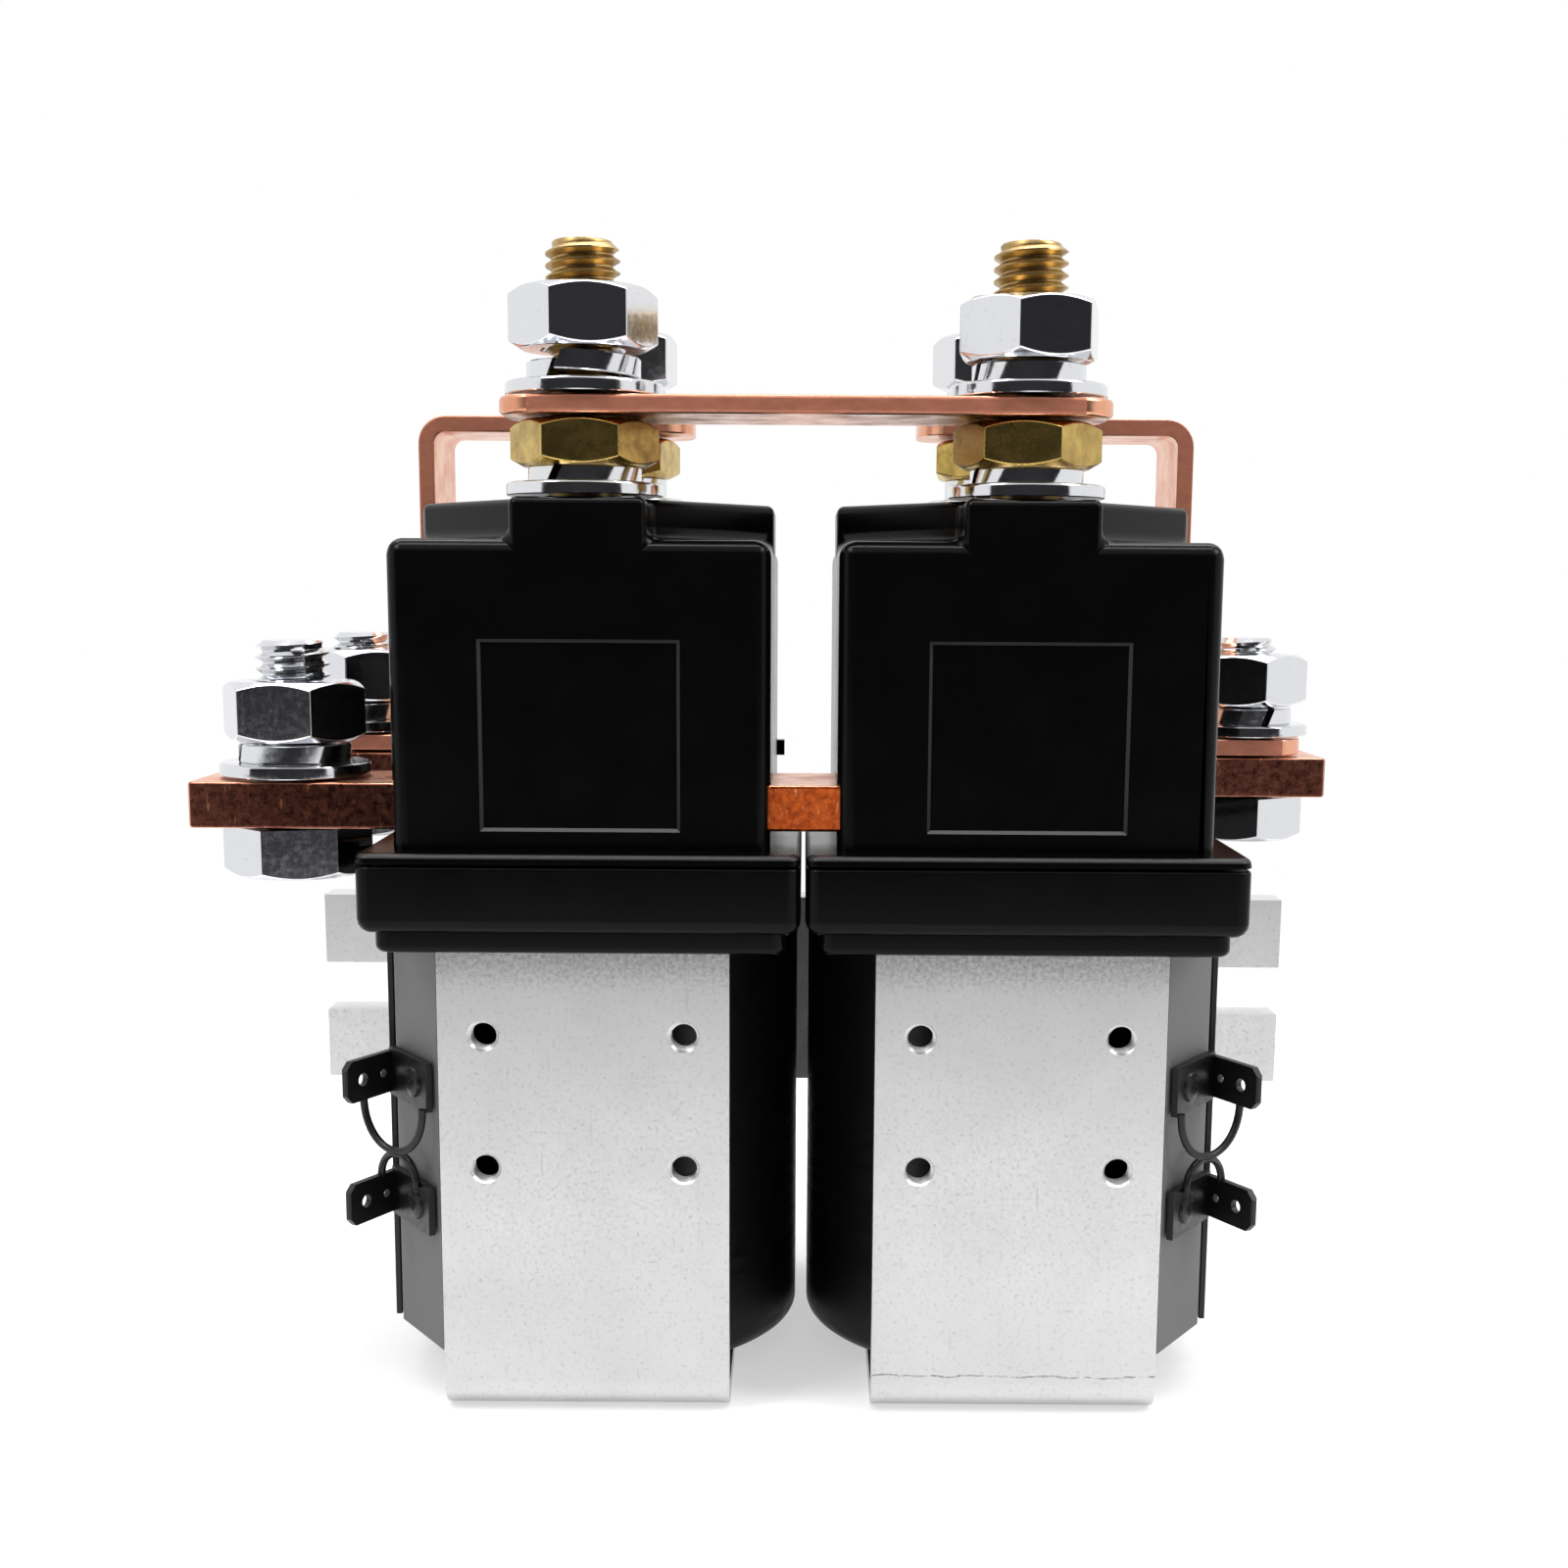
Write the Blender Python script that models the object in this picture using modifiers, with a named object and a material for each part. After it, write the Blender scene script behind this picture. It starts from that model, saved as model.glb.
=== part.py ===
"""A reversing contactor pair: two single-pole changeover contactors side by side, joined by copper
bars and one mounting bracket. The front faces -Y, +X is to the right, and z = 0 is the underside of
the two magnet yokes."""

from math import cos, pi, radians, sin

import bmesh
import bpy
from mathutils import Matrix, Vector

MM = 0.001
GAP = 0.3 * MM
# How far a cutter runs past what it cuts
PAST = 1 * MM

# Layout
PITCH = 48 * MM
STUD_Y = 19.5 * MM
BAR_REACH = 66.5 * MM
FRONT_TERMINAL_X = BAR_REACH - 10 * MM
REAR_TERMINAL_X = BAR_REACH - 9.3 * MM

# Magnet frame
YOKE_WIDTH = 32 * MM
YOKE_DEPTH = 55 * MM
YOKE_THICK = 2.5 * MM
YOKE_BEND = 3.9 * MM
MAGNET_PLATE_THICK = 4 * MM
YOKE_HOLE_R = 1.65 * MM
YOKE_HOLE_SPACING_X = 22 * MM
YOKE_HOLE_SPACING_Z = 15 * MM
YOKE_HOLE_LOW_Z = 28.5 * MM

# Coil and what moves in it
COIL_R = 23.3 * MM
COIL_ROUND = 1.6 * MM
CORE_R = 7 * MM
CORE_NECK_R = 5 * MM
CORE_NECK_LENGTH = 4 * MM
STROKE = 4 * MM
PLUNGER_LENGTH = 24 * MM
ROD_R = 2 * MM
ROD_TIP_ABOVE_BRIDGE = 2.2 * MM
COLLAR_R = 4 * MM
COLLAR_THICK = 1.5 * MM
COLLAR_ABOVE_FLOOR = 1.2 * MM
RING_R = 5.6 * MM
RING_THICK = 1 * MM

# Base moulding
STEP_WIDTH = 44.4 * MM
STEP_DEPTH = 60.6 * MM
STEP_HEIGHT = 2.3 * MM
STEP_ROUND = 0.8 * MM
BASE_BOTTOM_Z = 53.2 * MM
BASE_HEIGHT = 9.6 * MM
BASE_ROOF_OVER_MAGNET = 5 * MM
FLANGE_WIDTH = 47.5 * MM
FLANGE_DEPTH = 64 * MM
FLANGE_CORNER = 1.6 * MM
FLANGE_ROUND = 0.8 * MM
FLANGE_UNDER_ROUND = 2.3 * MM

# Cover moulding
COVER_FLANGE_THICK = 1.1 * MM
COVER_WIDTH = 40.8 * MM
COVER_DEPTH = 56.4 * MM
COVER_HEIGHT = 33 * MM
COVER_WALL = 2.5 * MM
COVER_CORNER = 1.9 * MM
COVER_ROUND = 1.7 * MM
PLATFORM_HEIGHT = 4.4 * MM
PLATFORM_WIDTH = 14.5 * MM
PLATFORM_TONGUE = 6.2 * MM
PLATFORM_WAIST = 12 * MM
PLATFORM_ROUND = 1 * MM
PANEL_WIDTH = 21.5 * MM
PANEL_HEIGHT = 20.5 * MM
PANEL_BOTTOM = 2 * MM
PANEL_INSET = 0.35 * MM
NUB_WIDTH = 2.4 * MM
NUB_HEIGHT = 2 * MM
NUB_REACH = 1 * MM
NUB_Y = 25.2 * MM
NUB_Z = 71.2 * MM

# Copper
BAR_WIDTH = 15 * MM
BAR_THICK = 5 * MM
BAR_ABOVE_BASE = 3.4 * MM
BAR_CORNER = 0.6 * MM
STRAP_THICK = 2 * MM
STRAP_BEND = 3.4 * MM
STRAP_FOOT_BEND = 2.4 * MM
STRAP_EDGE = 0.4 * MM
STRAP_LEG_X = 48.2 * MM
STRAP_FOOT_REACH = BAR_REACH - 2.5 * MM
LINK_PAST_STUD = 8.8 * MM
STRAP_PAST_STUD = 9.8 * MM
COPPER_CORNER = 5 * MM
BRIDGE_WIDTH = 13 * MM
BRIDGE_THICK = 2.5 * MM
BRIDGE_PAST_STUD = 5.2 * MM
BRIDGE_CORNER = 4 * MM
TIP_R = 4.5 * MM
TIP_HEIGHT = 1 * MM
CONTACT_GAP = 3 * MM

# Fasteners, size M8
THREAD_R = 4 * MM
HEX_FLATS = 14 * MM
NUT_HEIGHT = 6.5 * MM
BRASS_NUT_HEIGHT = 4.9 * MM
BOLT_HEAD_HEIGHT = 5.5 * MM
BOLT_LENGTH = 20.3 * MM
WASHER_R = 8.5 * MM
TERMINAL_WASHER_R = 8.25 * MM
WASHER_THICK = 1.4 * MM
SPRING_WASHER_R = 6.15 * MM
SPRING_WASHER_THICK = 2.1 * MM
SLACK_WASHER_THICK = 3.1 * MM
FRONT_SEAT_SPRING_THICK = 1.7 * MM
REAR_SEAT_SPRING_THICK = 2.6 * MM
STUD_PROUD = 4.8 * MM
NUT_PRESS = 0.2 * MM
STUD_HEAD_R = 5.9 * MM
STUD_HEAD_THICK = 2.5 * MM
STUD_POST_R = 5 * MM
THREAD_CHAMFER = 0.6 * MM
NUT_CHAMFER = 1 * MM
NUT_CHAMFER_RUN = 1.7
NUT_END_INSET = 0.3 * MM

# How far the nut and the brass nut on each stud are turned
STUD_NUT_TURNS = {
    "front_left": (radians(10), radians(2)),
    "front_right": (radians(17), radians(-10)),
    "rear_left": (radians(24), radians(16)),
    "rear_right": (radians(-14), radians(22)),
}
# How far the nut and the bolt head of each terminal are turned
TERMINAL_TURNS = {
    "front": (radians(-4), radians(15)),
    "rear_left": (radians(25), radians(8)),
    "rear_right": (radians(-22), radians(-25)),
}

# Springs
RETURN_SPRING_R = 4.6 * MM
RETURN_SPRING_WIRE_R = 0.5 * MM
RETURN_SPRING_TURNS = 5
CONTACT_SPRING_R = 3.1 * MM
CONTACT_SPRING_WIRE_R = 0.45 * MM
CONTACT_SPRING_TURNS = 4

# Coil connections
BOARD_THICK = 0.7 * MM
BOARD_INNER_Y = 26.2 * MM
BOARD_CORNER_X = 22.9 * MM
BOARD_CORNER_Y = 16.5 * MM
BOARD_LEG = 7.6 * MM
BOARD_ROUND = 1.2 * MM
BOARD_CUT_REACH = 2 * MM
BOARD_BOTTOM_Z = 6.8 * MM
INSULATOR_THICK = 0.7 * MM
INSULATOR_WIDTH = 27 * MM
INSULATOR_BOTTOM_Z = 6.2 * MM
TAB_Z = (37.2 * MM, 23 * MM)
TAB_WIDTH = 4.8 * MM
TAB_THICK = 0.8 * MM
TAB_LENGTH = 8.2 * MM
TAB_CHAMFER = 1 * MM
TAB_BASE_WIDTH = 5.6 * MM
TAB_TURN = radians(29)
TAB_HOLE_R = 0.75 * MM
TAB_HOLE_REACH = 5.4 * MM
TAB_WIRE_HOLE_R = 0.5 * MM
TAB_WIRE_HOLE_REACH = 2 * MM
TAB_BASE_START = 0.8 * MM
TAB_BASE_END = 0.6 * MM
RIVET_R = 1.1 * MM
RIVET_REACH = 4.2 * MM
RIVET_HEAD = 0.5 * MM
LEAD_R = 0.45 * MM
UPPER_LEAD_DROP = 4.6 * MM
LOWER_LEAD_RISE = 3.2 * MM
LEAD_SPAN = (2.2 * MM, 9.6 * MM)
LEAD_STEPS = 6

# Mounting bracket
BRACKET_REACH = 65.5 * MM
BRACKET_THICK = 5 * MM
BRACKET_BOTTOM_Z = 25 * MM
BRACKET_TOP_Z = 50.4 * MM
SLOT_WIDTH = 6.6 * MM
SLOT_DEPTH = 12 * MM
SCREW_PIN_R = 1.35 * MM
SCREW_SOCKET_R = 1.45 * MM
SCREW_SOCKET_DEPTH = 1.6 * MM

# Heights that follow, from the floor up
BASE_TOP_Z = BASE_BOTTOM_Z + BASE_HEIGHT
COVER_BOTTOM_Z = BASE_TOP_Z + GAP
COVER_FLANGE_Z = COVER_BOTTOM_Z + COVER_FLANGE_THICK
SHOULDER_Z = COVER_FLANGE_Z + COVER_HEIGHT
PLATFORM_Z = SHOULDER_Z + PLATFORM_HEIGHT
CHAMBER_ROOF_Z = SHOULDER_Z - COVER_WALL
MAGNET_TOP_Z = BASE_TOP_Z - BASE_ROOF_OVER_MAGNET - GAP
MAGNET_BOTTOM_Z = MAGNET_TOP_Z - MAGNET_PLATE_THICK
COIL_TOP_Z = BASE_BOTTOM_Z - GAP
COIL_BOTTOM_Z = YOKE_THICK + GAP
BAR_Z = BASE_TOP_Z + BAR_ABOVE_BASE
BAR_TOP_Z = BAR_Z + BAR_THICK
BRIDGE_Z = BAR_TOP_Z + GAP + TIP_HEIGHT
BRIDGE_TOP_Z = BRIDGE_Z + BRIDGE_THICK
STUD_TIP_Z = BRIDGE_TOP_Z + TIP_HEIGHT + CONTACT_GAP + GAP
SEAT_Z = PLATFORM_Z + GAP
LINK_Z = SEAT_Z + WASHER_THICK + FRONT_SEAT_SPRING_THICK + BRASS_NUT_HEIGHT + GAP
STRAP_Z = LINK_Z + REAR_SEAT_SPRING_THICK - FRONT_SEAT_SPRING_THICK
CLAMP_HEIGHT = GAP + WASHER_THICK + SLACK_WASHER_THICK + GAP + NUT_HEIGHT
STUD_TOP_Z = LINK_Z + STRAP_THICK + CLAMP_HEIGHT + STUD_PROUD
PLUNGER_Z = YOKE_THICK + GAP
CORE_BOTTOM_Z = PLUNGER_Z + PLUNGER_LENGTH + STROKE + GAP
BORE_R = CORE_R + GAP
ROD_HOLE_R = ROD_R + GAP
BASE_ROD_HOLE_R = ROD_R + PAST
HOLE_R = THREAD_R + GAP
BRACKET_FRONT_Y = YOKE_DEPTH / 2 + GAP

ROUND_STEPS = 16
HIDDEN_STEPS = 14
COIL_STEPS = 32
HOLE_STEPS = 14
SMALL_STEPS = 8
SPRING_STEPS = 8
ARC_STEPS = 3

LEFT, RIGHT = -1, 1
SIDES = (("left", LEFT), ("right", RIGHT))
ENDS = (("front", -1), ("rear", 1))


def clear_scene():
    for old in list(bpy.data.objects):
        bpy.data.objects.remove(old, do_unlink=True)


def new_collection(name, hidden=False):
    collection = bpy.data.collections.new(name)
    bpy.context.scene.collection.children.link(collection)
    collection.hide_render = hidden
    return collection


clear_scene()
PARTS = new_collection("reversing_contactor")
CUTTERS = new_collection("cutters", hidden=True)


def finish(name, color, roughness, metallic=0.0):
    made = bpy.data.materials.new(name)
    made.use_nodes = True
    shader = made.node_tree.nodes["Principled BSDF"]
    shader.inputs["Base Color"].default_value = (*color, 1)
    shader.inputs["Roughness"].default_value = roughness
    shader.inputs["Metallic"].default_value = metallic
    made.diffuse_color = (*color, 1)
    return made


# Each piece has its own copy of one of these finishes: colour, roughness, metallic
FINISHES = {
    "black_moulding": ((0.012, 0.012, 0.013), 0.35, 0.0),
    "zinc": ((0.72, 0.73, 0.75), 0.3, 1.0),
    "zinc_plate": ((0.66, 0.67, 0.68), 0.42, 1.0),
    "copper": ((0.72, 0.32, 0.19), 0.3, 1.0),
    "brass": ((0.62, 0.46, 0.17), 0.3, 1.0),
    "tape": ((0.01, 0.01, 0.01), 0.5, 0.0),
    "grey_board": ((0.15, 0.15, 0.15), 0.6, 0.0),
    "black_sheet": ((0.02, 0.02, 0.02), 0.5, 0.0),
    "iron": ((0.35, 0.35, 0.36), 0.4, 1.0),
    "spring_steel": ((0.45, 0.45, 0.47), 0.3, 1.0),
}


def add_part(name, mesh, look):
    """A visible sub-part with its own material."""
    part = bpy.data.objects.new(name, mesh)
    part.data.materials.clear()
    part.data.materials.append(finish(name, *FINISHES[look]))
    PARTS.objects.link(part)
    return part


def add_helper(name, mesh):
    """A cutter, or a shape that a Boolean joins to a sub-part."""
    helper = bpy.data.objects.new(name, mesh)
    helper.hide_render = True
    helper.display_type = "WIRE"
    CUTTERS.objects.link(helper)
    return helper


def boolean(part, other, operation):
    step = part.modifiers.new(other.name, "BOOLEAN")
    step.operation = operation
    step.object = other
    step.solver = "EXACT"


def cut(part, mesh):
    boolean(part, add_helper(part.name + "_cut", mesh), "DIFFERENCE")


def join(part, mesh):
    boolean(part, add_helper(part.name + "_join", mesh), "UNION")


def smooth(mesh, angle=35):
    mesh.shade_smooth()
    mesh.set_sharp_from_angle(angle=radians(angle))
    return mesh


def mesh_of(shape):
    """The bmesh as a mesh, its faces pointing outwards."""
    if shape.calc_volume(signed=True) < 0:
        bmesh.ops.reverse_faces(shape, faces=shape.faces)
    mesh = bpy.data.meshes.new("shape")
    shape.to_mesh(mesh)
    shape.free()
    return mesh


def box(x, y, z):
    """A box between pairs of limits."""
    shape = bmesh.new()
    size = [high - low for low, high in (x, y, z)]
    middle = [(high + low) / 2 for low, high in (x, y, z)]
    bmesh.ops.create_cube(shape, size=1, matrix=Matrix.LocRotScale(middle, None, size))
    return mesh_of(shape)


def rod(radius, start, end, steps=HOLE_STEPS):
    """A cylinder from one point to another."""
    along = Vector(end) - Vector(start)
    middle = (Vector(start) + Vector(end)) / 2
    place = Matrix.Translation(middle) @ along.to_track_quat("Z", "X").to_matrix().to_4x4()
    shape = bmesh.new()
    bmesh.ops.create_cone(
        shape, cap_ends=True, segments=steps, radius1=radius, radius2=radius, depth=along.length, matrix=place
    )
    return smooth(mesh_of(shape))


def rounded(points, radii, steps=ARC_STEPS):
    """The outline with each corner replaced by an arc of its radius."""
    outline = []
    for i, corner in enumerate(points):
        corner = Vector(corner)
        radius = radii if isinstance(radii, float) else radii[i]
        if radius == 0:
            outline.append(corner)
            continue
        before = (Vector(points[i - 1]) - corner).normalized()
        after = (Vector(points[(i + 1) % len(points)]) - corner).normalized()
        half = before.angle(after) / 2
        middle = (before + after).normalized()
        centre = corner + middle * (radius / sin(half))
        start = corner + before * (radius / (sin(half) / cos(half))) - centre
        turn = start.angle_signed(corner + after * (radius / (sin(half) / cos(half))) - centre)
        for step in range(steps + 1):
            arm = start.copy()
            arm.rotate(Matrix.Rotation(-turn * step / steps, 2))
            outline.append(centre + arm)
    return outline


def rectangle(width, depth, corner=0.0, steps=ARC_STEPS):
    x, y = width / 2, depth / 2
    return rounded([(-x, -y), (x, -y), (x, y), (-x, y)], corner, steps)


def offset(outline, distance):
    """The outline moved inwards, each corner along its mitre."""
    moved = []
    for i, point in enumerate(outline):
        before = (point - outline[i - 1]).normalized()
        after = (outline[(i + 1) % len(outline)] - point).normalized()
        normal_before = Vector((-before.y, before.x))
        normal_after = Vector((-after.y, after.x))
        mitre = (normal_before + normal_after).normalized()
        moved.append(point + mitre * (distance / mitre.dot(normal_after)))
    return moved


def raised(outline, profile, place=None):
    """The outline drawn upwards through a profile of pairs: how far inwards, how high."""
    shape = bmesh.new()
    inset, height = profile[0]
    floor = [shape.verts.new((p.x, p.y, height)) for p in offset(outline, inset)]
    bottom = shape.faces.new(floor[::-1])
    top, ring = bottom, floor
    for inset, height in profile[1:]:
        grown = bmesh.ops.extrude_face_region(shape, geom=[top])["geom"]
        if top is not bottom:
            bmesh.ops.delete(shape, geom=[top], context="FACES_ONLY")
        top = next(item for item in grown if isinstance(item, bmesh.types.BMFace))
        above = {tuple(v.co): v for v in top.verts}
        ring = [above[tuple(v.co)] for v in ring]
        for vert, point in zip(ring, offset(outline, inset)):
            vert.co = (point.x, point.y, height)
    bmesh.ops.recalc_face_normals(shape, faces=shape.faces)
    if place:
        shape.transform(place)
    return smooth(mesh_of(shape))


def top_round(radius, top, steps=ARC_STEPS):
    """The part of a profile that rounds a top edge over."""
    return [
        (radius * (1 - cos(pi / 2 * i / steps)), top - radius * (1 - sin(pi / 2 * i / steps)))
        for i in range(steps + 1)
    ]


def bottom_round(radius, bottom, steps=ARC_STEPS):
    return [(inset, 2 * bottom - height) for inset, height in reversed(top_round(radius, bottom, steps))]


def plate(outline, low, high, place=None):
    """A flat outline of an even thickness, made as a filled curve."""
    curve = bpy.data.curves.new("outline", "CURVE")
    curve.dimensions = "2D"
    curve.fill_mode = "BOTH"
    curve.extrude = (high - low) / 2
    line = curve.splines.new("POLY")
    line.points.add(len(outline) - 1)
    for point, target in zip(line.points, outline):
        point.co = (target[0], target[1], 0, 1)
    line.use_cyclic_u = True
    drawn = Matrix.Translation((0, 0, (low + high) / 2))
    return curve_mesh(curve, (place or Matrix()) @ drawn)


def curve_mesh(curve, place):
    """The curve as a closed mesh, its caps welded to its sides."""
    drawn = bpy.data.objects.new("drawn", curve)
    CUTTERS.objects.link(drawn)
    bpy.context.view_layer.update()
    found = drawn.evaluated_get(bpy.context.evaluated_depsgraph_get())
    mesh = bpy.data.meshes.new_from_object(found)
    bpy.data.objects.remove(drawn, do_unlink=True)
    shape = bmesh.new()
    shape.from_mesh(mesh)
    bmesh.ops.remove_doubles(shape, verts=shape.verts, dist=1e-6)
    shape.transform(place)
    bmesh.ops.recalc_face_normals(shape, faces=shape.faces)
    return smooth(mesh_of(shape))


def wire(points, radius, resolution=2):
    """A round wire along the points, with filled ends."""
    curve = bpy.data.curves.new("wire", "CURVE")
    curve.dimensions = "3D"
    curve.bevel_depth = radius
    curve.bevel_resolution = resolution
    curve.use_fill_caps = True
    line = curve.splines.new("POLY")
    line.points.add(len(points) - 1)
    for point, target in zip(line.points, points):
        point.co = (*target, 1)
    return curve_mesh(curve, Matrix())


def turned(name, profile, look, centre, steps=ROUND_STEPS):
    """A turned piece: its profile of pairs (radius, height) runs down the outer side."""
    mesh = bpy.data.meshes.new(name)
    mesh.from_pydata([(r, 0, z) for r, z in profile], [(i, i + 1) for i in range(len(profile) - 1)], [])
    if profile[0][0] > 0:
        mesh = bpy.data.meshes.new(name)
        ring = [(i, (i + 1) % len(profile)) for i in range(len(profile))]
        mesh.from_pydata([(r, 0, z) for r, z in profile], ring, [])
    part = add_part(name, mesh, look)
    part.location = centre
    screw = part.modifiers.new("Turn", "SCREW")
    screw.steps = steps
    screw.render_steps = steps
    screw.use_merge_vertices = True
    screw.merge_threshold = 0.00001
    screw.use_smooth_shade = True
    return part


def hexagon(flats, turn):
    corner = flats / 2 / cos(pi / 6)
    return [Vector((corner * cos(turn + pi / 3 * i), corner * sin(turn + pi / 3 * i))) for i in range(6)]


def add_cover(side, sign):
    """The contact housing: a hollow moulding with a raised platform under its two studs."""
    x = sign * PITCH / 2
    place = Matrix.Translation((x, 0, 0))
    body = rectangle(COVER_WIDTH, COVER_DEPTH, COVER_CORNER)
    sides = [(0, COVER_FLANGE_Z - 0.6 * COVER_FLANGE_THICK)] + top_round(COVER_ROUND, SHOULDER_Z)
    cover = add_part("cover_" + side, raised(body, sides, place), "black_moulding")
    flange = rectangle(FLANGE_WIDTH, FLANGE_DEPTH, FLANGE_CORNER)
    join(cover, raised(flange, [(0, COVER_BOTTOM_Z)] + top_round(FLANGE_ROUND, COVER_FLANGE_Z), place))
    join(cover, platform_mesh(place))
    chamber = rectangle(COVER_WIDTH - 2 * COVER_WALL, COVER_DEPTH - 2 * COVER_WALL)
    cut(cover, raised(chamber, [(0, COVER_BOTTOM_Z - PAST), (0, CHAMBER_ROOF_Z)], place))
    for _, end in ENDS:
        y = end * STUD_Y
        cut(cover, rod(HOLE_R, (x, y, CHAMBER_ROOF_Z - PAST), (x, y, PLATFORM_Z + PAST)))
    for low, high, y in lower_bars():
        if low < x < high:
            cut(
                cover,
                box(
                    (low - GAP, high + GAP),
                    (y - BAR_WIDTH / 2 - GAP, y + BAR_WIDTH / 2 + GAP),
                    (BAR_Z - GAP, BAR_TOP_Z + GAP),
                ),
            )
    panel_z = COVER_FLANGE_Z + PANEL_BOTTOM
    cut(
        cover,
        box(
            (x - PANEL_WIDTH / 2, x + PANEL_WIDTH / 2),
            (-COVER_DEPTH / 2 - PAST, -COVER_DEPTH / 2 + PANEL_INSET),
            (panel_z, panel_z + PANEL_HEIGHT),
        ),
    )
    if sign == LEFT:
        wall = x + COVER_WIDTH / 2
        join(
            cover,
            box(
                (wall - PAST, wall + NUB_REACH),
                (NUB_Y - NUB_WIDTH / 2, NUB_Y + NUB_WIDTH / 2),
                (NUB_Z - NUB_HEIGHT / 2, NUB_Z + NUB_HEIGHT / 2),
            ),
        )


def lower_bars():
    """The span and the y of each lower bar: the front one runs through both covers."""
    inside = PITCH / 2 + COVER_WIDTH / 2 - COVER_WALL - GAP
    inner = PITCH / 2 - BAR_WIDTH / 2
    return (-BAR_REACH, inside, -STUD_Y), (-BAR_REACH, -inner, STUD_Y), (inner, BAR_REACH, STUD_Y)


def platform_mesh(place):
    """The raised lozenge between the studs, flush with the front and rear faces."""
    tongue, wide, front = PLATFORM_WIDTH / 2, COVER_WIDTH / 2, COVER_DEPTH / 2
    waist = PLATFORM_WAIST / 2
    side = [(tongue, -front), (tongue, PLATFORM_TONGUE - front), (wide, -waist), (wide, waist)]
    side += [(tongue, front - PLATFORM_TONGUE), (tongue, front)]
    points = side + [(-x, -y) for x, y in side]
    outline = [Vector(p) for p in points]
    low = SHOULDER_Z - COVER_ROUND
    profile = [(0, low)] + top_round(PLATFORM_ROUND, PLATFORM_Z)
    return raised(outline, profile, place)


def add_base(side, sign):
    """The moulding between the magnet frame and the cover."""
    x = sign * PITCH / 2
    place = Matrix.Translation((x, 0, 0))
    rim = rectangle(FLANGE_WIDTH, FLANGE_DEPTH, FLANGE_CORNER)
    under = bottom_round(FLANGE_UNDER_ROUND, BASE_BOTTOM_Z + STEP_HEIGHT)
    under = [(inset * 0.6, height) for inset, height in under]
    base = add_part("base_" + side, raised(rim, under + [(0, BASE_TOP_Z)], place), "black_moulding")
    step = rectangle(STEP_WIDTH, STEP_DEPTH, FLANGE_CORNER)
    rise = BASE_BOTTOM_Z + STEP_HEIGHT + FLANGE_UNDER_ROUND
    join(base, raised(step, bottom_round(STEP_ROUND, BASE_BOTTOM_Z, 2) + [(0, rise)], place))
    inner = COVER_WIDTH / 2 - COVER_WALL - GAP
    for _, end in ENDS:
        y = end * STUD_Y
        near = min(y + BAR_WIDTH / 2, COVER_DEPTH / 2 - COVER_WALL - GAP)
        far = max(y - BAR_WIDTH / 2, -COVER_DEPTH / 2 + COVER_WALL + GAP)
        join(base, box((x - inner, x + inner), (far, near), (BASE_TOP_Z - PAST, BAR_Z - GAP)))
    pocket_x = YOKE_WIDTH / 2 + GAP
    pocket_y = YOKE_DEPTH / 2 + GAP
    cut(
        base,
        box(
            (x - pocket_x, x + pocket_x),
            (-pocket_y, pocket_y),
            (BASE_BOTTOM_Z - PAST, BASE_TOP_Z - BASE_ROOF_OVER_MAGNET),
        ),
    )
    cut(base, rod(BASE_ROD_HOLE_R, (x, 0, BASE_BOTTOM_Z), (x, 0, BASE_TOP_Z + PAST)))


def add_yoke(side, sign):
    """The U of folded steel round the coil, with tapped holes in both limbs."""
    x = sign * PITCH / 2
    outer, inner = YOKE_DEPTH / 2, YOKE_DEPTH / 2 - YOKE_THICK
    points = [(-outer, MAGNET_TOP_Z), (-outer, 0), (outer, 0), (outer, MAGNET_TOP_Z)]
    points += [(inner, MAGNET_TOP_Z), (inner, YOKE_THICK), (-inner, YOKE_THICK), (-inner, MAGNET_TOP_Z)]
    bend = YOKE_BEND - YOKE_THICK
    outline = rounded(points, [0, YOKE_BEND, YOKE_BEND, 0, 0, bend, bend, 0])
    upright = Matrix.Translation((x, 0, 0)) @ Matrix.Rotation(pi / 2, 4, "Z")
    upright = upright @ Matrix.Rotation(pi / 2, 4, "X")
    yoke = add_part("yoke_" + side, plate(outline, -YOKE_WIDTH / 2, YOKE_WIDTH / 2, upright), "zinc_plate")
    for hole_x, z in yoke_holes(sign):
        cut(yoke, rod(YOKE_HOLE_R, (hole_x, -outer - PAST, z), (hole_x, outer + PAST, z), SMALL_STEPS))


def yoke_holes(sign):
    x = sign * PITCH / 2
    return [
        (x + across * YOKE_HOLE_SPACING_X / 2, YOKE_HOLE_LOW_Z + up * YOKE_HOLE_SPACING_Z)
        for across in (-1, 1)
        for up in (0, 1)
    ]


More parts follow.
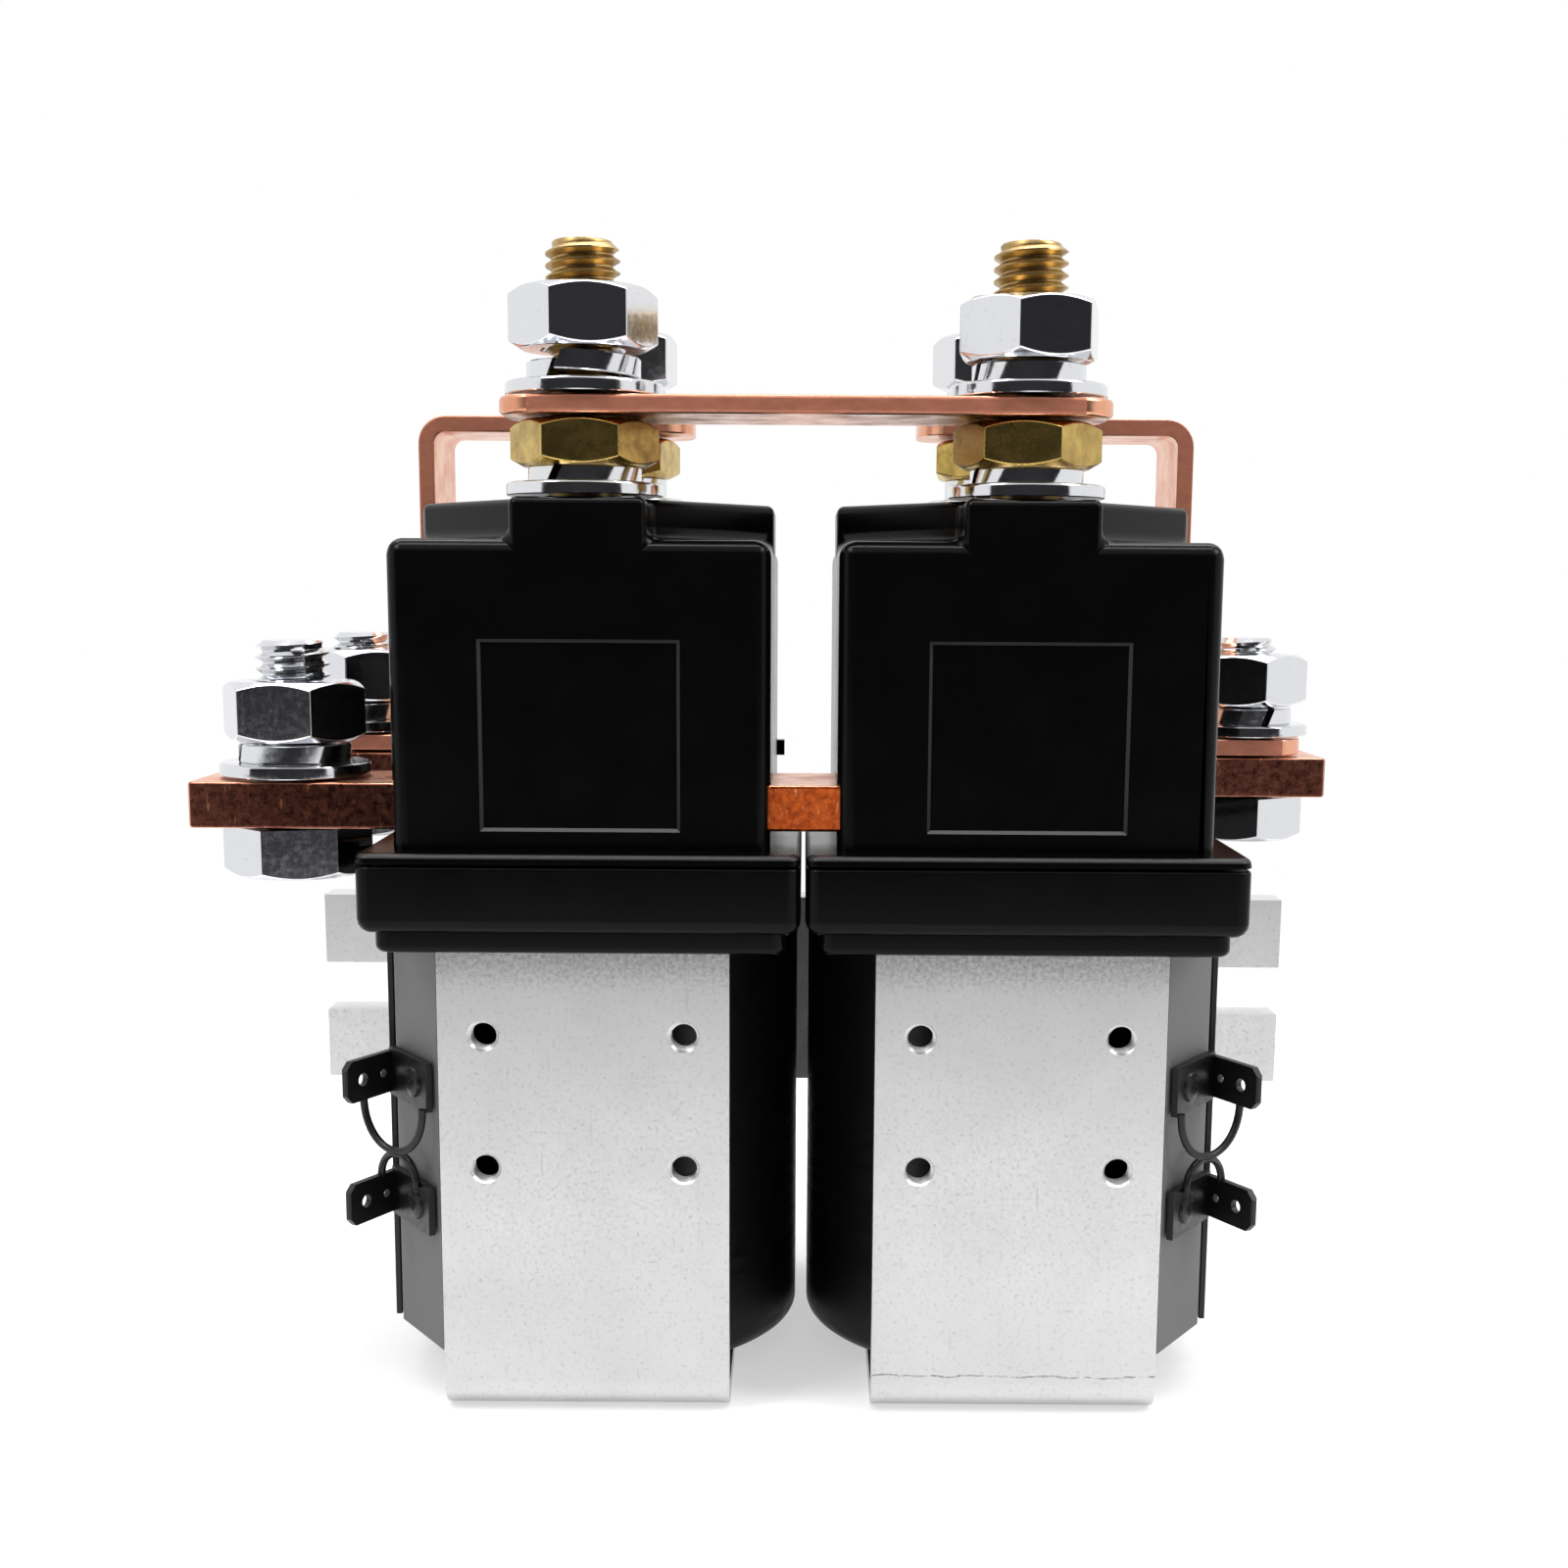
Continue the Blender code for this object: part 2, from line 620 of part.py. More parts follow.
def add_magnet(side, sign):
    """The plate that closes the yoke, the core staked in it, and the coil round both."""
    x = sign * PITCH / 2
    half_y = YOKE_DEPTH / 2 - YOKE_THICK - GAP
    top = add_part(
        "magnet_plate_" + side,
        box((x - YOKE_WIDTH / 2, x + YOKE_WIDTH / 2), (-half_y, half_y), (MAGNET_BOTTOM_Z, MAGNET_TOP_Z)),
        "zinc_plate",
    )
    neck = CORE_NECK_R + GAP
    cut(top, rod(neck, (x, 0, MAGNET_BOTTOM_Z - PAST), (x, 0, MAGNET_TOP_Z + PAST)))
    shoulder = MAGNET_TOP_Z - CORE_NECK_LENGTH - GAP
    core = [(ROD_HOLE_R, MAGNET_TOP_Z), (CORE_NECK_R, MAGNET_TOP_Z), (CORE_NECK_R, shoulder)]
    core += [(CORE_R, shoulder), (CORE_R, CORE_BOTTOM_Z), (ROD_HOLE_R, CORE_BOTTOM_Z)]
    turned("fixed_core_" + side, core, "iron", (x, 0, 0), HIDDEN_STEPS)
    edge = [(COIL_R - inset, height) for inset, height in top_round(COIL_ROUND, COIL_TOP_Z, 2)][::-1]
    foot = [(COIL_R - inset, height) for inset, height in bottom_round(COIL_ROUND, COIL_BOTTOM_Z, 2)][::-1]
    coil = [(BORE_R, COIL_TOP_Z)] + edge + foot + [(BORE_R, COIL_BOTTOM_Z)]
    turned("coil_" + side, coil, "tape", (x, 0, 0), COIL_STEPS)


def add_moving(side, sign):
    """What moves when the coil pulls in: the plunger with its rod, the bridge and both springs."""
    x = sign * PITCH / 2
    shoulder = PLUNGER_Z + PLUNGER_LENGTH
    collar = BASE_TOP_Z + COLLAR_ABOVE_FLOOR
    ring = BRIDGE_TOP_Z + GAP
    tip = BRIDGE_TOP_Z + ROD_TIP_ABOVE_BRIDGE
    profile = [(0, tip), (ROD_R, tip), (ROD_R, ring + RING_THICK), (RING_R, ring + RING_THICK)]
    profile += [(RING_R, ring), (ROD_R, ring), (ROD_R, collar + COLLAR_THICK)]
    profile += [(COLLAR_R, collar + COLLAR_THICK)]
    profile += [(COLLAR_R, collar), (ROD_R, collar), (ROD_R, shoulder), (CORE_R, shoulder)]
    profile += [(CORE_R, PLUNGER_Z), (0, PLUNGER_Z)]
    turned("plunger_" + side, profile, "iron", (x, 0, 0), HIDDEN_STEPS)
    reach = STUD_Y + BRIDGE_PAST_STUD
    outline = rectangle(BRIDGE_WIDTH, 2 * reach, BRIDGE_CORNER)
    place = Matrix.Translation((x, 0, 0))
    bridge = add_part("contact_bridge_" + side, plate(outline, BRIDGE_Z, BRIDGE_TOP_Z, place), "copper")
    for _, end in ENDS:
        y = end * STUD_Y
        join(bridge, rod(TIP_R, (x, y, BRIDGE_Z - TIP_HEIGHT), (x, y, BRIDGE_TOP_Z + TIP_HEIGHT)))
    cut(bridge, rod(ROD_HOLE_R, (x, 0, BRIDGE_Z - PAST), (x, 0, BRIDGE_TOP_Z + PAST)))
    add_spring(
        "return_spring_" + side, x, RETURN_SPRING_R, RETURN_SPRING_WIRE_R, RETURN_SPRING_TURNS,
        ring + RING_THICK + GAP, CHAMBER_ROOF_Z - GAP,
    )
    add_spring(
        "contact_spring_" + side, x, CONTACT_SPRING_R, CONTACT_SPRING_WIRE_R, CONTACT_SPRING_TURNS,
        collar + COLLAR_THICK + GAP, BRIDGE_Z - GAP,
    )


def add_spring(name, x, radius, wire_r, turns, low, high):
    """A helix of round wire between two heights."""
    rise = high - low - 2 * wire_r
    points = []
    for i in range(turns * SPRING_STEPS + 1):
        angle = 2 * pi * i / SPRING_STEPS
        share = i / (turns * SPRING_STEPS)
        points.append((x + radius * cos(angle), radius * sin(angle), low + wire_r + rise * share))
    add_part(name, wire(points, wire_r, 1), "spring_steel")


def add_lower_bars():
    """The thick copper bars, each with the hole for its terminal bolt."""
    holes = (-FRONT_TERMINAL_X, -REAR_TERMINAL_X, REAR_TERMINAL_X)
    for tag, (low, high, y), hole in zip(("front", "rear_left", "rear_right"), lower_bars(), holes):
        add_bar("lower_bar_" + tag, low, high, y, hole)


def add_bar(name, low, high, y, hole):
    place = Matrix.Translation(((low + high) / 2, y, 0))
    outline = rectangle(high - low, BAR_WIDTH, BAR_CORNER)
    bar = add_part(name, plate(outline, BAR_Z, BAR_TOP_Z, place), "copper")
    cut(bar, rod(HOLE_R, (hole, y, BAR_Z - PAST), (hole, y, BAR_TOP_Z + PAST)))


def add_link_bar():
    reach = PITCH / 2 + LINK_PAST_STUD
    low, high = -STUD_Y - BAR_WIDTH / 2, -STUD_Y + BAR_WIDTH / 2
    outline = rounded([(-reach, low), (reach, low), (reach, high), (-reach, high)], COPPER_CORNER)
    link = add_part("link_bar", plate(outline, LINK_Z, LINK_Z + STRAP_THICK), "copper")
    for _, sign in SIDES:
        x = sign * PITCH / 2
        cut(link, rod(HOLE_R, (x, -STUD_Y, LINK_Z - PAST), (x, -STUD_Y, LINK_Z + STRAP_THICK + PAST)))


def add_strap(side, sign):
    """A strap from the rear stud over the cover's outer side and down to the rear lower bar."""
    foot = BAR_TOP_Z + GAP
    inner = PITCH / 2 - STRAP_PAST_STUD
    top = STRAP_Z + STRAP_THICK
    leg = STRAP_LEG_X - STRAP_THICK
    points = [(inner, STRAP_Z), (inner, top), (STRAP_LEG_X, top), (STRAP_LEG_X, foot + STRAP_THICK)]
    points += [(STRAP_FOOT_REACH, foot + STRAP_THICK), (STRAP_FOOT_REACH, foot), (leg, foot), (leg, STRAP_Z)]
    bend = STRAP_BEND - STRAP_THICK
    outline = rounded(points, [0, 0, STRAP_BEND, STRAP_EDGE, 0, 0, STRAP_FOOT_BEND, bend])
    outline = [(sign * x, z) for x, z in outline]
    upright = Matrix.Translation((0, STUD_Y, 0)) @ Matrix.Rotation(pi / 2, 4, "X")
    mesh = plate(outline, -BAR_WIDTH / 2, BAR_WIDTH / 2, upright)
    shape = bmesh.new()
    shape.from_mesh(mesh)
    for end_x in (inner, STRAP_FOOT_REACH):
        corners = [
            edge
            for edge in shape.edges
            if all(abs(abs(v.co.x) - end_x) < 1e-5 for v in edge.verts)
            and abs(edge.verts[0].co.y - edge.verts[1].co.y) < 1e-6
        ]
        bmesh.ops.bevel(
            shape, geom=corners, offset=COPPER_CORNER, segments=4, profile=0.5, affect="EDGES",
            offset_type="OFFSET",
        )
    strap = add_part("strap_" + side, mesh_of(shape), "copper")
    x = sign * PITCH / 2
    cut(strap, rod(HOLE_R, (x, STUD_Y, STRAP_Z - PAST), (x, STUD_Y, top + PAST)))
    x = sign * REAR_TERMINAL_X
    cut(strap, rod(HOLE_R, (x, STUD_Y, foot - PAST), (x, STUD_Y, foot + STRAP_THICK + PAST)))


def add_washers(name, look, centre, low, washer_r, spring_thick):
    """A flat washer with a spring washer on it."""
    x, y = centre
    flat_top = low + WASHER_THICK
    spring_top = flat_top + spring_thick
    profile = [(HOLE_R, spring_top), (SPRING_WASHER_R, spring_top), (SPRING_WASHER_R, flat_top)]
    profile += [(washer_r, flat_top), (washer_r, low), (HOLE_R, low)]
    return turned(name, profile, look, (x, y, 0))


def add_seat_nut(seat, centre, low, turn):
    """The brass nut of a stud's seat, pressed down on the washers."""
    x, y = centre
    top = low + BRASS_NUT_HEIGHT
    place = Matrix.Translation((x, y, 0))
    join(seat, raised(hexagon(HEX_FLATS, turn), [(0, low - NUT_PRESS), (0, top)], place))
    cut(seat, rod(HOLE_R, (x, y, SEAT_Z - PAST), (x, y, top + PAST), ROUND_STEPS))


def add_nut(name, centre, low, turn):
    """A hexagon nut, its corners turned off at both ends."""
    x, y = centre
    place = Matrix.Translation((x, y, 0))
    high = low + NUT_HEIGHT
    nut = add_part(name, raised(hexagon(HEX_FLATS, turn), [(0, low), (0, high)], place), "zinc")
    run = NUT_CHAMFER * NUT_CHAMFER_RUN
    past_run = run + PAST * NUT_CHAMFER_RUN
    crown = HEX_FLATS / 2 - NUT_END_INSET + run
    angles = [2 * pi * i / ROUND_STEPS for i in range(ROUND_STEPS)]
    circle = [Vector((crown * cos(angle), crown * sin(angle))) for angle in angles]
    drum = [(past_run, low - PAST), (0, low + NUT_CHAMFER), (0, high - NUT_CHAMFER), (past_run, high + PAST)]
    boolean(nut, add_helper(name + "_crown", raised(circle, drum, place)), "INTERSECT")
    cut(nut, rod(HOLE_R, (x, y, low - PAST), (x, y, high + PAST), ROUND_STEPS))


def add_stud_set(side, sign, end_name, end):
    """A stud through the cover, its seat on the platform, and what clamps the copper on it."""
    centre = (sign * PITCH / 2, end * STUD_Y)
    tag = f"{end_name}_{side}"
    nut_turn, seat_nut_turn = STUD_NUT_TURNS[tag]
    spring_thick = SLACK_WASHER_THICK if tag == "front_left" else SPRING_WASHER_THICK
    seat_spring = FRONT_SEAT_SPRING_THICK if end_name == "front" else REAR_SEAT_SPRING_THICK
    copper_z = LINK_Z if end_name == "front" else STRAP_Z
    washers_z = copper_z + STRAP_THICK + GAP
    nut_z = washers_z + WASHER_THICK + spring_thick + GAP
    top = STUD_TOP_Z
    head_top = CHAMBER_ROOF_Z - GAP
    profile = [(0, top), (THREAD_R - THREAD_CHAMFER, top), (THREAD_R, top - THREAD_CHAMFER)]
    profile += [(THREAD_R, head_top), (STUD_HEAD_R, head_top), (STUD_HEAD_R, head_top - STUD_HEAD_THICK)]
    profile += [(STUD_POST_R, head_top - STUD_HEAD_THICK), (STUD_POST_R, STUD_TIP_Z), (0, STUD_TIP_Z)]
    turned("stud_" + tag, profile, "brass", (*centre, 0))
    seat = add_washers("stud_seat_" + tag, "brass", centre, SEAT_Z, WASHER_R, seat_spring)
    add_seat_nut(seat, centre, SEAT_Z + WASHER_THICK + seat_spring, seat_nut_turn)
    add_washers("top_washers_" + tag, "zinc", centre, washers_z, WASHER_R, spring_thick)
    add_nut("top_nut_" + tag, centre, nut_z, nut_turn)


def add_terminal(tag, x, y, strap_thick):
    """A bolt up through a lower bar, with its washers and nut."""
    head_top = BAR_Z - GAP
    low = head_top - BOLT_HEAD_HEIGHT
    place = Matrix.Translation((x, y, 0))
    head = [(THREAD_CHAMFER / 2, low), (0, low + THREAD_CHAMFER), (0, head_top)]
    nut_turn, head_turn = TERMINAL_TURNS[tag]
    bolt = add_part("terminal_bolt_" + tag, raised(hexagon(HEX_FLATS, head_turn), head, place), "zinc")
    join(bolt, rod(THREAD_R, (x, y, head_top - PAST), (x, y, head_top + BOLT_LENGTH), ROUND_STEPS))
    washers_z = BAR_TOP_Z + GAP + strap_thick
    add_washers("terminal_washers_" + tag, "zinc", (x, y), washers_z, TERMINAL_WASHER_R, SPRING_WASHER_THICK)
    nut_z = washers_z + WASHER_THICK + SPRING_WASHER_THICK + GAP
    add_nut("terminal_nut_" + tag, (x, y), nut_z, nut_turn)


def board_corner(sign):
    """The board's slanted face: its inner end, its outer corner and the unit vectors along and off it."""
    x = sign * PITCH / 2
    inner = Vector((x + sign * (YOKE_WIDTH / 2 + GAP), -BOARD_INNER_Y))
    corner = Vector((x + sign * BOARD_CORNER_X, -BOARD_CORNER_Y))
    along = (corner - inner).normalized()
    off = Vector((along.y, -along.x)) * sign
    return inner, corner, along, off


def add_board(side, sign):
    """The grey board beside the yoke that carries the coil's tabs: a slanted face and a short leg."""
    inner, corner, along, off = board_corner(sign)
    back = corner + Vector((0, BOARD_LEG))
    inside = corner + Vector((-sign * BOARD_THICK, BOARD_THICK * 0.3))
    behind = inner + Vector((0, BOARD_THICK / abs(along.x)))
    points = [inner, corner, back, back - Vector((sign * BOARD_THICK, 0)), inside, behind]
    radii = [0, BOARD_ROUND, 0, 0, BOARD_ROUND - BOARD_THICK, 0]
    if sign == LEFT:
        points, radii = points[::-1], radii[::-1]
    outline = rounded(points, radii)
    board = add_part("terminal_board_" + side, plate(outline, BOARD_BOTTOM_Z, COIL_TOP_Z), "grey_board")
    spot = inner + along * RIVET_REACH
    for z in TAB_Z:
        start, end = spot - off * BOARD_CUT_REACH, spot + off * BOARD_CUT_REACH
        cut(board, rod(RIVET_R + GAP, (*start, z), (*end, z), SMALL_STEPS))


def add_insulator(side, sign):
    """The flat sheet over the coil's outer side."""
    low = sign * (PITCH / 2 + COIL_R + GAP)
    high = low + sign * INSULATOR_THICK
    half = INSULATOR_WIDTH / 2
    add_part(
        "side_insulator_" + side,
        box(sorted((low, high)), (-half, half), (INSULATOR_BOTTOM_Z, COIL_TOP_Z)),
        "black_sheet",
    )


def add_tab(side, sign, level, z):
    """A push-on tab: a base riveted to the board, folded into a blade, and the coil's lead."""
    inner, corner, along, off = board_corner(sign)
    inner = inner + off * GAP
    corner = corner + off * GAP
    start = inner + along * TAB_BASE_START
    root = corner - along * TAB_BASE_END
    base = [start, root, root + off * TAB_THICK, start + off * TAB_THICK]
    half = TAB_BASE_WIDTH / 2
    tab = add_part(f"coil_tab_{level}_{side}", plate(base, z - half, z + half), "black_sheet")
    way = Vector((sign * sin(TAB_TURN), -cos(TAB_TURN)))
    fold = root + off * TAB_THICK / 2
    join(tab, blade_mesh(fold, way, z))
    across = Vector((way.y, -way.x))
    for reach, radius in ((TAB_HOLE_REACH, TAB_HOLE_R), (TAB_WIRE_HOLE_REACH, TAB_WIRE_HOLE_R)):
        spot = fold + way * reach
        start, end = spot - across * PAST, spot + across * PAST
        cut(tab, rod(radius, (*start, z), (*end, z), SMALL_STEPS))
    spot = inner + along * RIVET_REACH
    under = spot - off * (BOARD_THICK + 2 * GAP)
    head = spot + off * (TAB_THICK + RIVET_HEAD)
    join(tab, rod(RIVET_R, (*under, z), (*head, z), SMALL_STEPS))
    near, far = (inner + along * reach + off * (TAB_THICK + LEAD_R / 2) for reach in LEAD_SPAN)
    drop = -UPPER_LEAD_DROP if level == "upper" else LOWER_LEAD_RISE
    join(tab, lead_mesh(near, far, z, half, drop))


def lead_mesh(near, far, z, half, drop):
    """The coil's lead, a loop that hangs below the upper tab or stands above the lower one."""
    edge = z + (half if drop > 0 else -half)
    inside = edge - (0.8 * MM if drop > 0 else -0.8 * MM)
    points = [(*near, inside)]
    for step in range(LEAD_STEPS + 1):
        share = step / LEAD_STEPS
        spot = near.lerp(far, share)
        points.append((*spot, edge + drop * sin(pi * share)))
    points.append((*far, inside))
    return wire(points, LEAD_R, 1)


def blade_mesh(root, way, z):
    """The blade outlined in its own plane, its tip corners cut off."""
    half, tip = TAB_WIDTH / 2, TAB_LENGTH
    points = [(-0.3 * MM, -half), (tip - TAB_CHAMFER, -half), (tip, TAB_CHAMFER - half)]
    points += [(tip, half - TAB_CHAMFER), (tip - TAB_CHAMFER, half), (-0.3 * MM, half)]
    turn = Matrix((
        (way.x, 0, way.y, root.x),
        (way.y, 0, -way.x, root.y),
        (0, 1, 0, z),
        (0, 0, 0, 1),
    ))
    return plate(points, -TAB_THICK / 2, TAB_THICK / 2, turn)


def add_bracket():
    """The mounting plate behind both yokes, slotted at its ends, with its screws in the yokes' holes."""
    back = BRACKET_FRONT_Y + BRACKET_THICK
    middle = (BRACKET_BOTTOM_Z + BRACKET_TOP_Z) / 2
    bracket = add_part(
        "bracket",
        box((-BRACKET_REACH, BRACKET_REACH), (BRACKET_FRONT_Y, back), (BRACKET_BOTTOM_Z, BRACKET_TOP_Z)),
        "zinc_plate",
    )
    for _, sign in SIDES:
        end = BRACKET_REACH - SLOT_DEPTH + SLOT_WIDTH / 2
        outer = BRACKET_REACH + PAST
        r = SLOT_WIDTH / 2
        points = [(end - r, -r), (outer, -r), (outer, r), (end - r, r)]
        outline = [(sign * x, z + middle) for x, z in rounded(points, [r * 0.999, 0, 0, r * 0.999], 6)]
        upright = Matrix.Translation((0, BRACKET_FRONT_Y, 0)) @ Matrix.Rotation(pi / 2, 4, "X")
        cut(bracket, plate(outline, -2 * BRACKET_THICK, BRACKET_THICK, upright))
        for x, z in yoke_holes(sign):
            pin_end = BRACKET_FRONT_Y - YOKE_THICK
            join(bracket, rod(SCREW_PIN_R, (x, pin_end, z), (x, BRACKET_FRONT_Y + PAST, z), SMALL_STEPS))
            cut(bracket, rod(SCREW_SOCKET_R, (x, back - SCREW_SOCKET_DEPTH, z), (x, back + PAST, z), 6))


def main():
    for side, sign in SIDES:
        add_cover(side, sign)
        add_base(side, sign)
        add_yoke(side, sign)
        add_magnet(side, sign)
        add_moving(side, sign)
        for end_name, end in ENDS:
            add_stud_set(side, sign, end_name, end)
        add_strap(side, sign)
        add_board(side, sign)
        add_insulator(side, sign)
        for level, z in zip(("upper", "lower"), TAB_Z):
            add_tab(side, sign, level, z)
    add_link_bar()
    add_lower_bars()
    add_terminal("front", -FRONT_TERMINAL_X, -STUD_Y, 0.0)
    add_terminal("rear_left", -REAR_TERMINAL_X, STUD_Y, STRAP_THICK + GAP)
    add_terminal("rear_right", REAR_TERMINAL_X, STUD_Y, STRAP_THICK + GAP)
    add_bracket()


main()
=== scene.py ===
"""The looks of a reversing contactor pair: two black contact housings on coil yokes, joined by copper
bars and a mounting bracket. Metres, in the frame's own axes: the front faces -Y."""

from math import atan2, cos, pi, radians, sin, tan

import bmesh
import bpy
from mathutils import Matrix, Vector


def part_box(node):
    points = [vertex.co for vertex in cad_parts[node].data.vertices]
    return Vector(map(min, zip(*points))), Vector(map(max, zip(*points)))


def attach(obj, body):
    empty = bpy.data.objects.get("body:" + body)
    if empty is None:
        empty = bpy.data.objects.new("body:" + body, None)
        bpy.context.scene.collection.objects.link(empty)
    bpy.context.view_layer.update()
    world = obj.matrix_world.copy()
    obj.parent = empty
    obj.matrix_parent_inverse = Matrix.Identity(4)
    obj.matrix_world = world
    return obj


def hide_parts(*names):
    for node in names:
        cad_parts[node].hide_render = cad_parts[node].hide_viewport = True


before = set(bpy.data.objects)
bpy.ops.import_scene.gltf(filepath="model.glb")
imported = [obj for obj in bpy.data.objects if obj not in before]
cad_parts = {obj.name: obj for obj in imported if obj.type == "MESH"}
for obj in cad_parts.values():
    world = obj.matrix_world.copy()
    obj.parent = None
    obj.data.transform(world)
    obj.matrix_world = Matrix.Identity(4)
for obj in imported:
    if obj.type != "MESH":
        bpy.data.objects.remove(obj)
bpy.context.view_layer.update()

MM = 0.001
GAP = 0.3 * MM
ROOT = "housings_and_frame"
SIDES = (("left", -1), ("right", 1))
ENDS = ("front", "rear")
Z_AXIS = (0, 0, 1)

# The photograph: its size and its principal point in pixels, its focal length in pixels
PHOTO_SIZE = 1600
PHOTO_FOCAL = 2000
PHOTO_CENTRE = (819.5, 917)
CAMERA_PLACE = (0, -237.2 * MM, 92.2 * MM)
CAMERA_PITCH = radians(9)
CAMERA_ROLL = radians(0.36)
LAMP_TARGET = Vector((0, 0, 60 * MM))

# Cover and base mouldings
COVER_WIDTH = 40.8 * MM
COVER_DEPTH = 56.4 * MM
COVER_WALL = 2.5 * MM
COVER_CORNER = 1.9 * MM
COVER_ROUND = 1.7 * MM
COVER_FLANGE = 1.1 * MM
PLATFORM_HEIGHT = 4.4 * MM
PLATFORM_TONGUE = 6.2 * MM
PLATFORM_WIDTH = 14.5 * MM
PLATFORM_WAIST = 12 * MM
PLATFORM_ROUND = 0.9 * MM
PLATFORM_FOOT = 1.5 * MM
PANEL = (21.5 * MM, 20.5 * MM)
PANEL_BOTTOM = 2 * MM
PANEL_INSET = 0.35 * MM
FLANGE_CORNER = 1.6 * MM
FLANGE_ROUND = 0.8 * MM
FLANGE_UNDER_ROUND = 2.3 * MM
STEP_HEIGHT = 2.3 * MM
STEP_INSET = 1.6 * MM
NUB_REACH = 1 * MM
NUB_SIZE = 2 * MM
NUB_Y = 25.2 * MM
NUB_Z = 71.2 * MM
NUB_CORNER = 0.3 * MM
FLANGE_HALF_WIDTH = 23.75 * MM
# The cover's sloped faces below this height are its flange's front edge, painted pale grey as an edge
# highlight
FLANGE_LINE_Z = 66 * MM
BASE_RIM_ROUND = 0.35 * MM
STEP_ROUND = 0.8 * MM
STEP_BELOW_TOP = 3 * MM
SEAT_INNER_Y = 12 * MM
PUSH_ROD_HOLE_R = 3 * MM

# Fasteners
HEX_FLATS = 14 * MM
THREAD_R = 4 * MM
THREAD_PITCH = 1.25 * MM
WASHER_R = 8.5 * MM
TERMINAL_WASHER_R = 8.25 * MM
WASHER_THICK = 1.4 * MM
SPRING_WASHER_R = 6.15 * MM
SPRING_WASHER_THICK = 2.1 * MM
SLACK_WASHER_LIFT = 1 * MM
WASHER_SWEEP = 350
WASHER_SLANT = 9
SEAT_SPRING_THICK = {"front": 1.7 * MM, "rear": 2.6 * MM}
BRASS_NUT_HEIGHT = 4.9 * MM
STUD_HEAD_TOP = 15.1 * MM
STUD_HEAD_THICK = 2.5 * MM
STUD_HEAD_R = 5.9 * MM
STUD_CONTACT_R = 5 * MM
NUT_BORE = THREAD_R + 0.15 * MM
BOLT_HEAD_HEIGHT = 5.5 * MM

# Yokes, coils, bars and bracket
YOKE_THICK = 2.5 * MM
YOKE_BEND = 3.9 * MM
YOKE_HOLE_R = 1.65 * MM
YOKE_HOLES = ((-11, 28.5), (11, 28.5), (-11, 43.5), (11, 43.5))
YOKE_TAP_PITCH = 0.7 * MM
COIL_BORE_R = 7.3 * MM
COIL_ROUND = 1.6 * MM
BAR_CORNER = 0.6 * MM
COPPER_CORNER = 5 * MM
STRAP_THICK = 2 * MM
STRAP_BEND = 3.4 * MM
STRAP_FOOT_BEND = 2.4 * MM
STRAP_FOOT_EDGE = 0.4 * MM
STRAP_LEG_X = 48.2 * MM
BRACKET_THICK = 5 * MM
SLOT_WIDTH = 6.6 * MM
SLOT_DEPTH = 12 * MM

# Coil boards and tabs
BOARD_THICK = 0.7 * MM
BOARD_ROUND = 1.2 * MM
BOARD_SLANT_Y = 9.7 * MM
RIVET_REACH = 4.2 * MM
RIVET_HOLE_R = 1.4 * MM
TAB_THICK = 0.8 * MM
TAB_WIDTH = 4.8 * MM
TAB_LENGTH = 8.2 * MM
TAB_BASE_WIDTH = 5.6 * MM
TAB_TURN = radians(29)
TAB_CHAMFER = 1 * MM
TAB_HOLES = ((5.4 * MM, 0.75 * MM), (2 * MM, 0.5 * MM))
TAB_Z = (("upper", 37.2 * MM), ("lower", 23 * MM))
LEAD_R = 0.45 * MM
LEAD_STEPS = 24

# Where each lead leaves its blade, where it meets its base on the board, and how far it loops
LEAD_LOOPS = {
    "upper": (5 * MM, 0.9 * MM, -5.6 * MM),
    "lower": (2.4 * MM, 3 * MM, 3.4 * MM),
}


def linear(code):
    """The linear colour of an sRGB hex code."""
    channels = [int(code[i : i + 2], 16) / 255 for i in (0, 2, 4)]
    return (*[c / 12.92 if c <= 0.04045 else ((c + 0.055) / 1.055) ** 2.4 for c in channels], 1)


def add_node(tree, kind, settings=None, links=None):
    """A node with its settings, by property or socket, and its links from other sockets."""
    made = tree.nodes.new("ShaderNode" + kind)
    for name, value in (settings or {}).items():
        if isinstance(name, str) and hasattr(made, name):
            setattr(made, name, value)
        else:
            made.inputs[name].default_value = value
    for name, source in (links or {}).items():
        tree.links.new(source, made.inputs[name])
    return made


def feed(node, socket, source):
    """Links a source to one of a node's sockets."""
    node.id_data.links.new(source, node.inputs[socket])


def per(size):
    """A pattern's scale from the real size of one of its features."""
    return 1 / size


def ramp(source, stops):
    """A colour ramp through pairs of place and grey level."""
    made = add_node(source.id_data, "ValToRGB", links={"Fac": source})
    elements = made.color_ramp.elements
    while len(elements) < len(stops):
        elements.new(0.5)
    for element, (place, grey) in zip(elements, stops):
        element.position = place
        element.color = (grey, grey, grey, 1)
    return made.outputs["Color"]


def noise(vector, size, detail=3, roughness=0.5):
    """Noise with features of a real size."""
    settings = {"Scale": per(size), "Detail": detail, "Roughness": roughness}
    return add_node(vector.id_data, "TexNoise", settings, {"Vector": vector}).outputs["Fac"]


def stretched(vector, scale, turn=0.0):
    """The vector squeezed along an axis, so that a pattern on it becomes lines, and turned about Y."""
    settings = {"Scale": scale, "Rotation": (0, radians(turn), 0)}
    return add_node(vector.id_data, "Mapping", settings, {"Vector": vector}).outputs["Vector"]


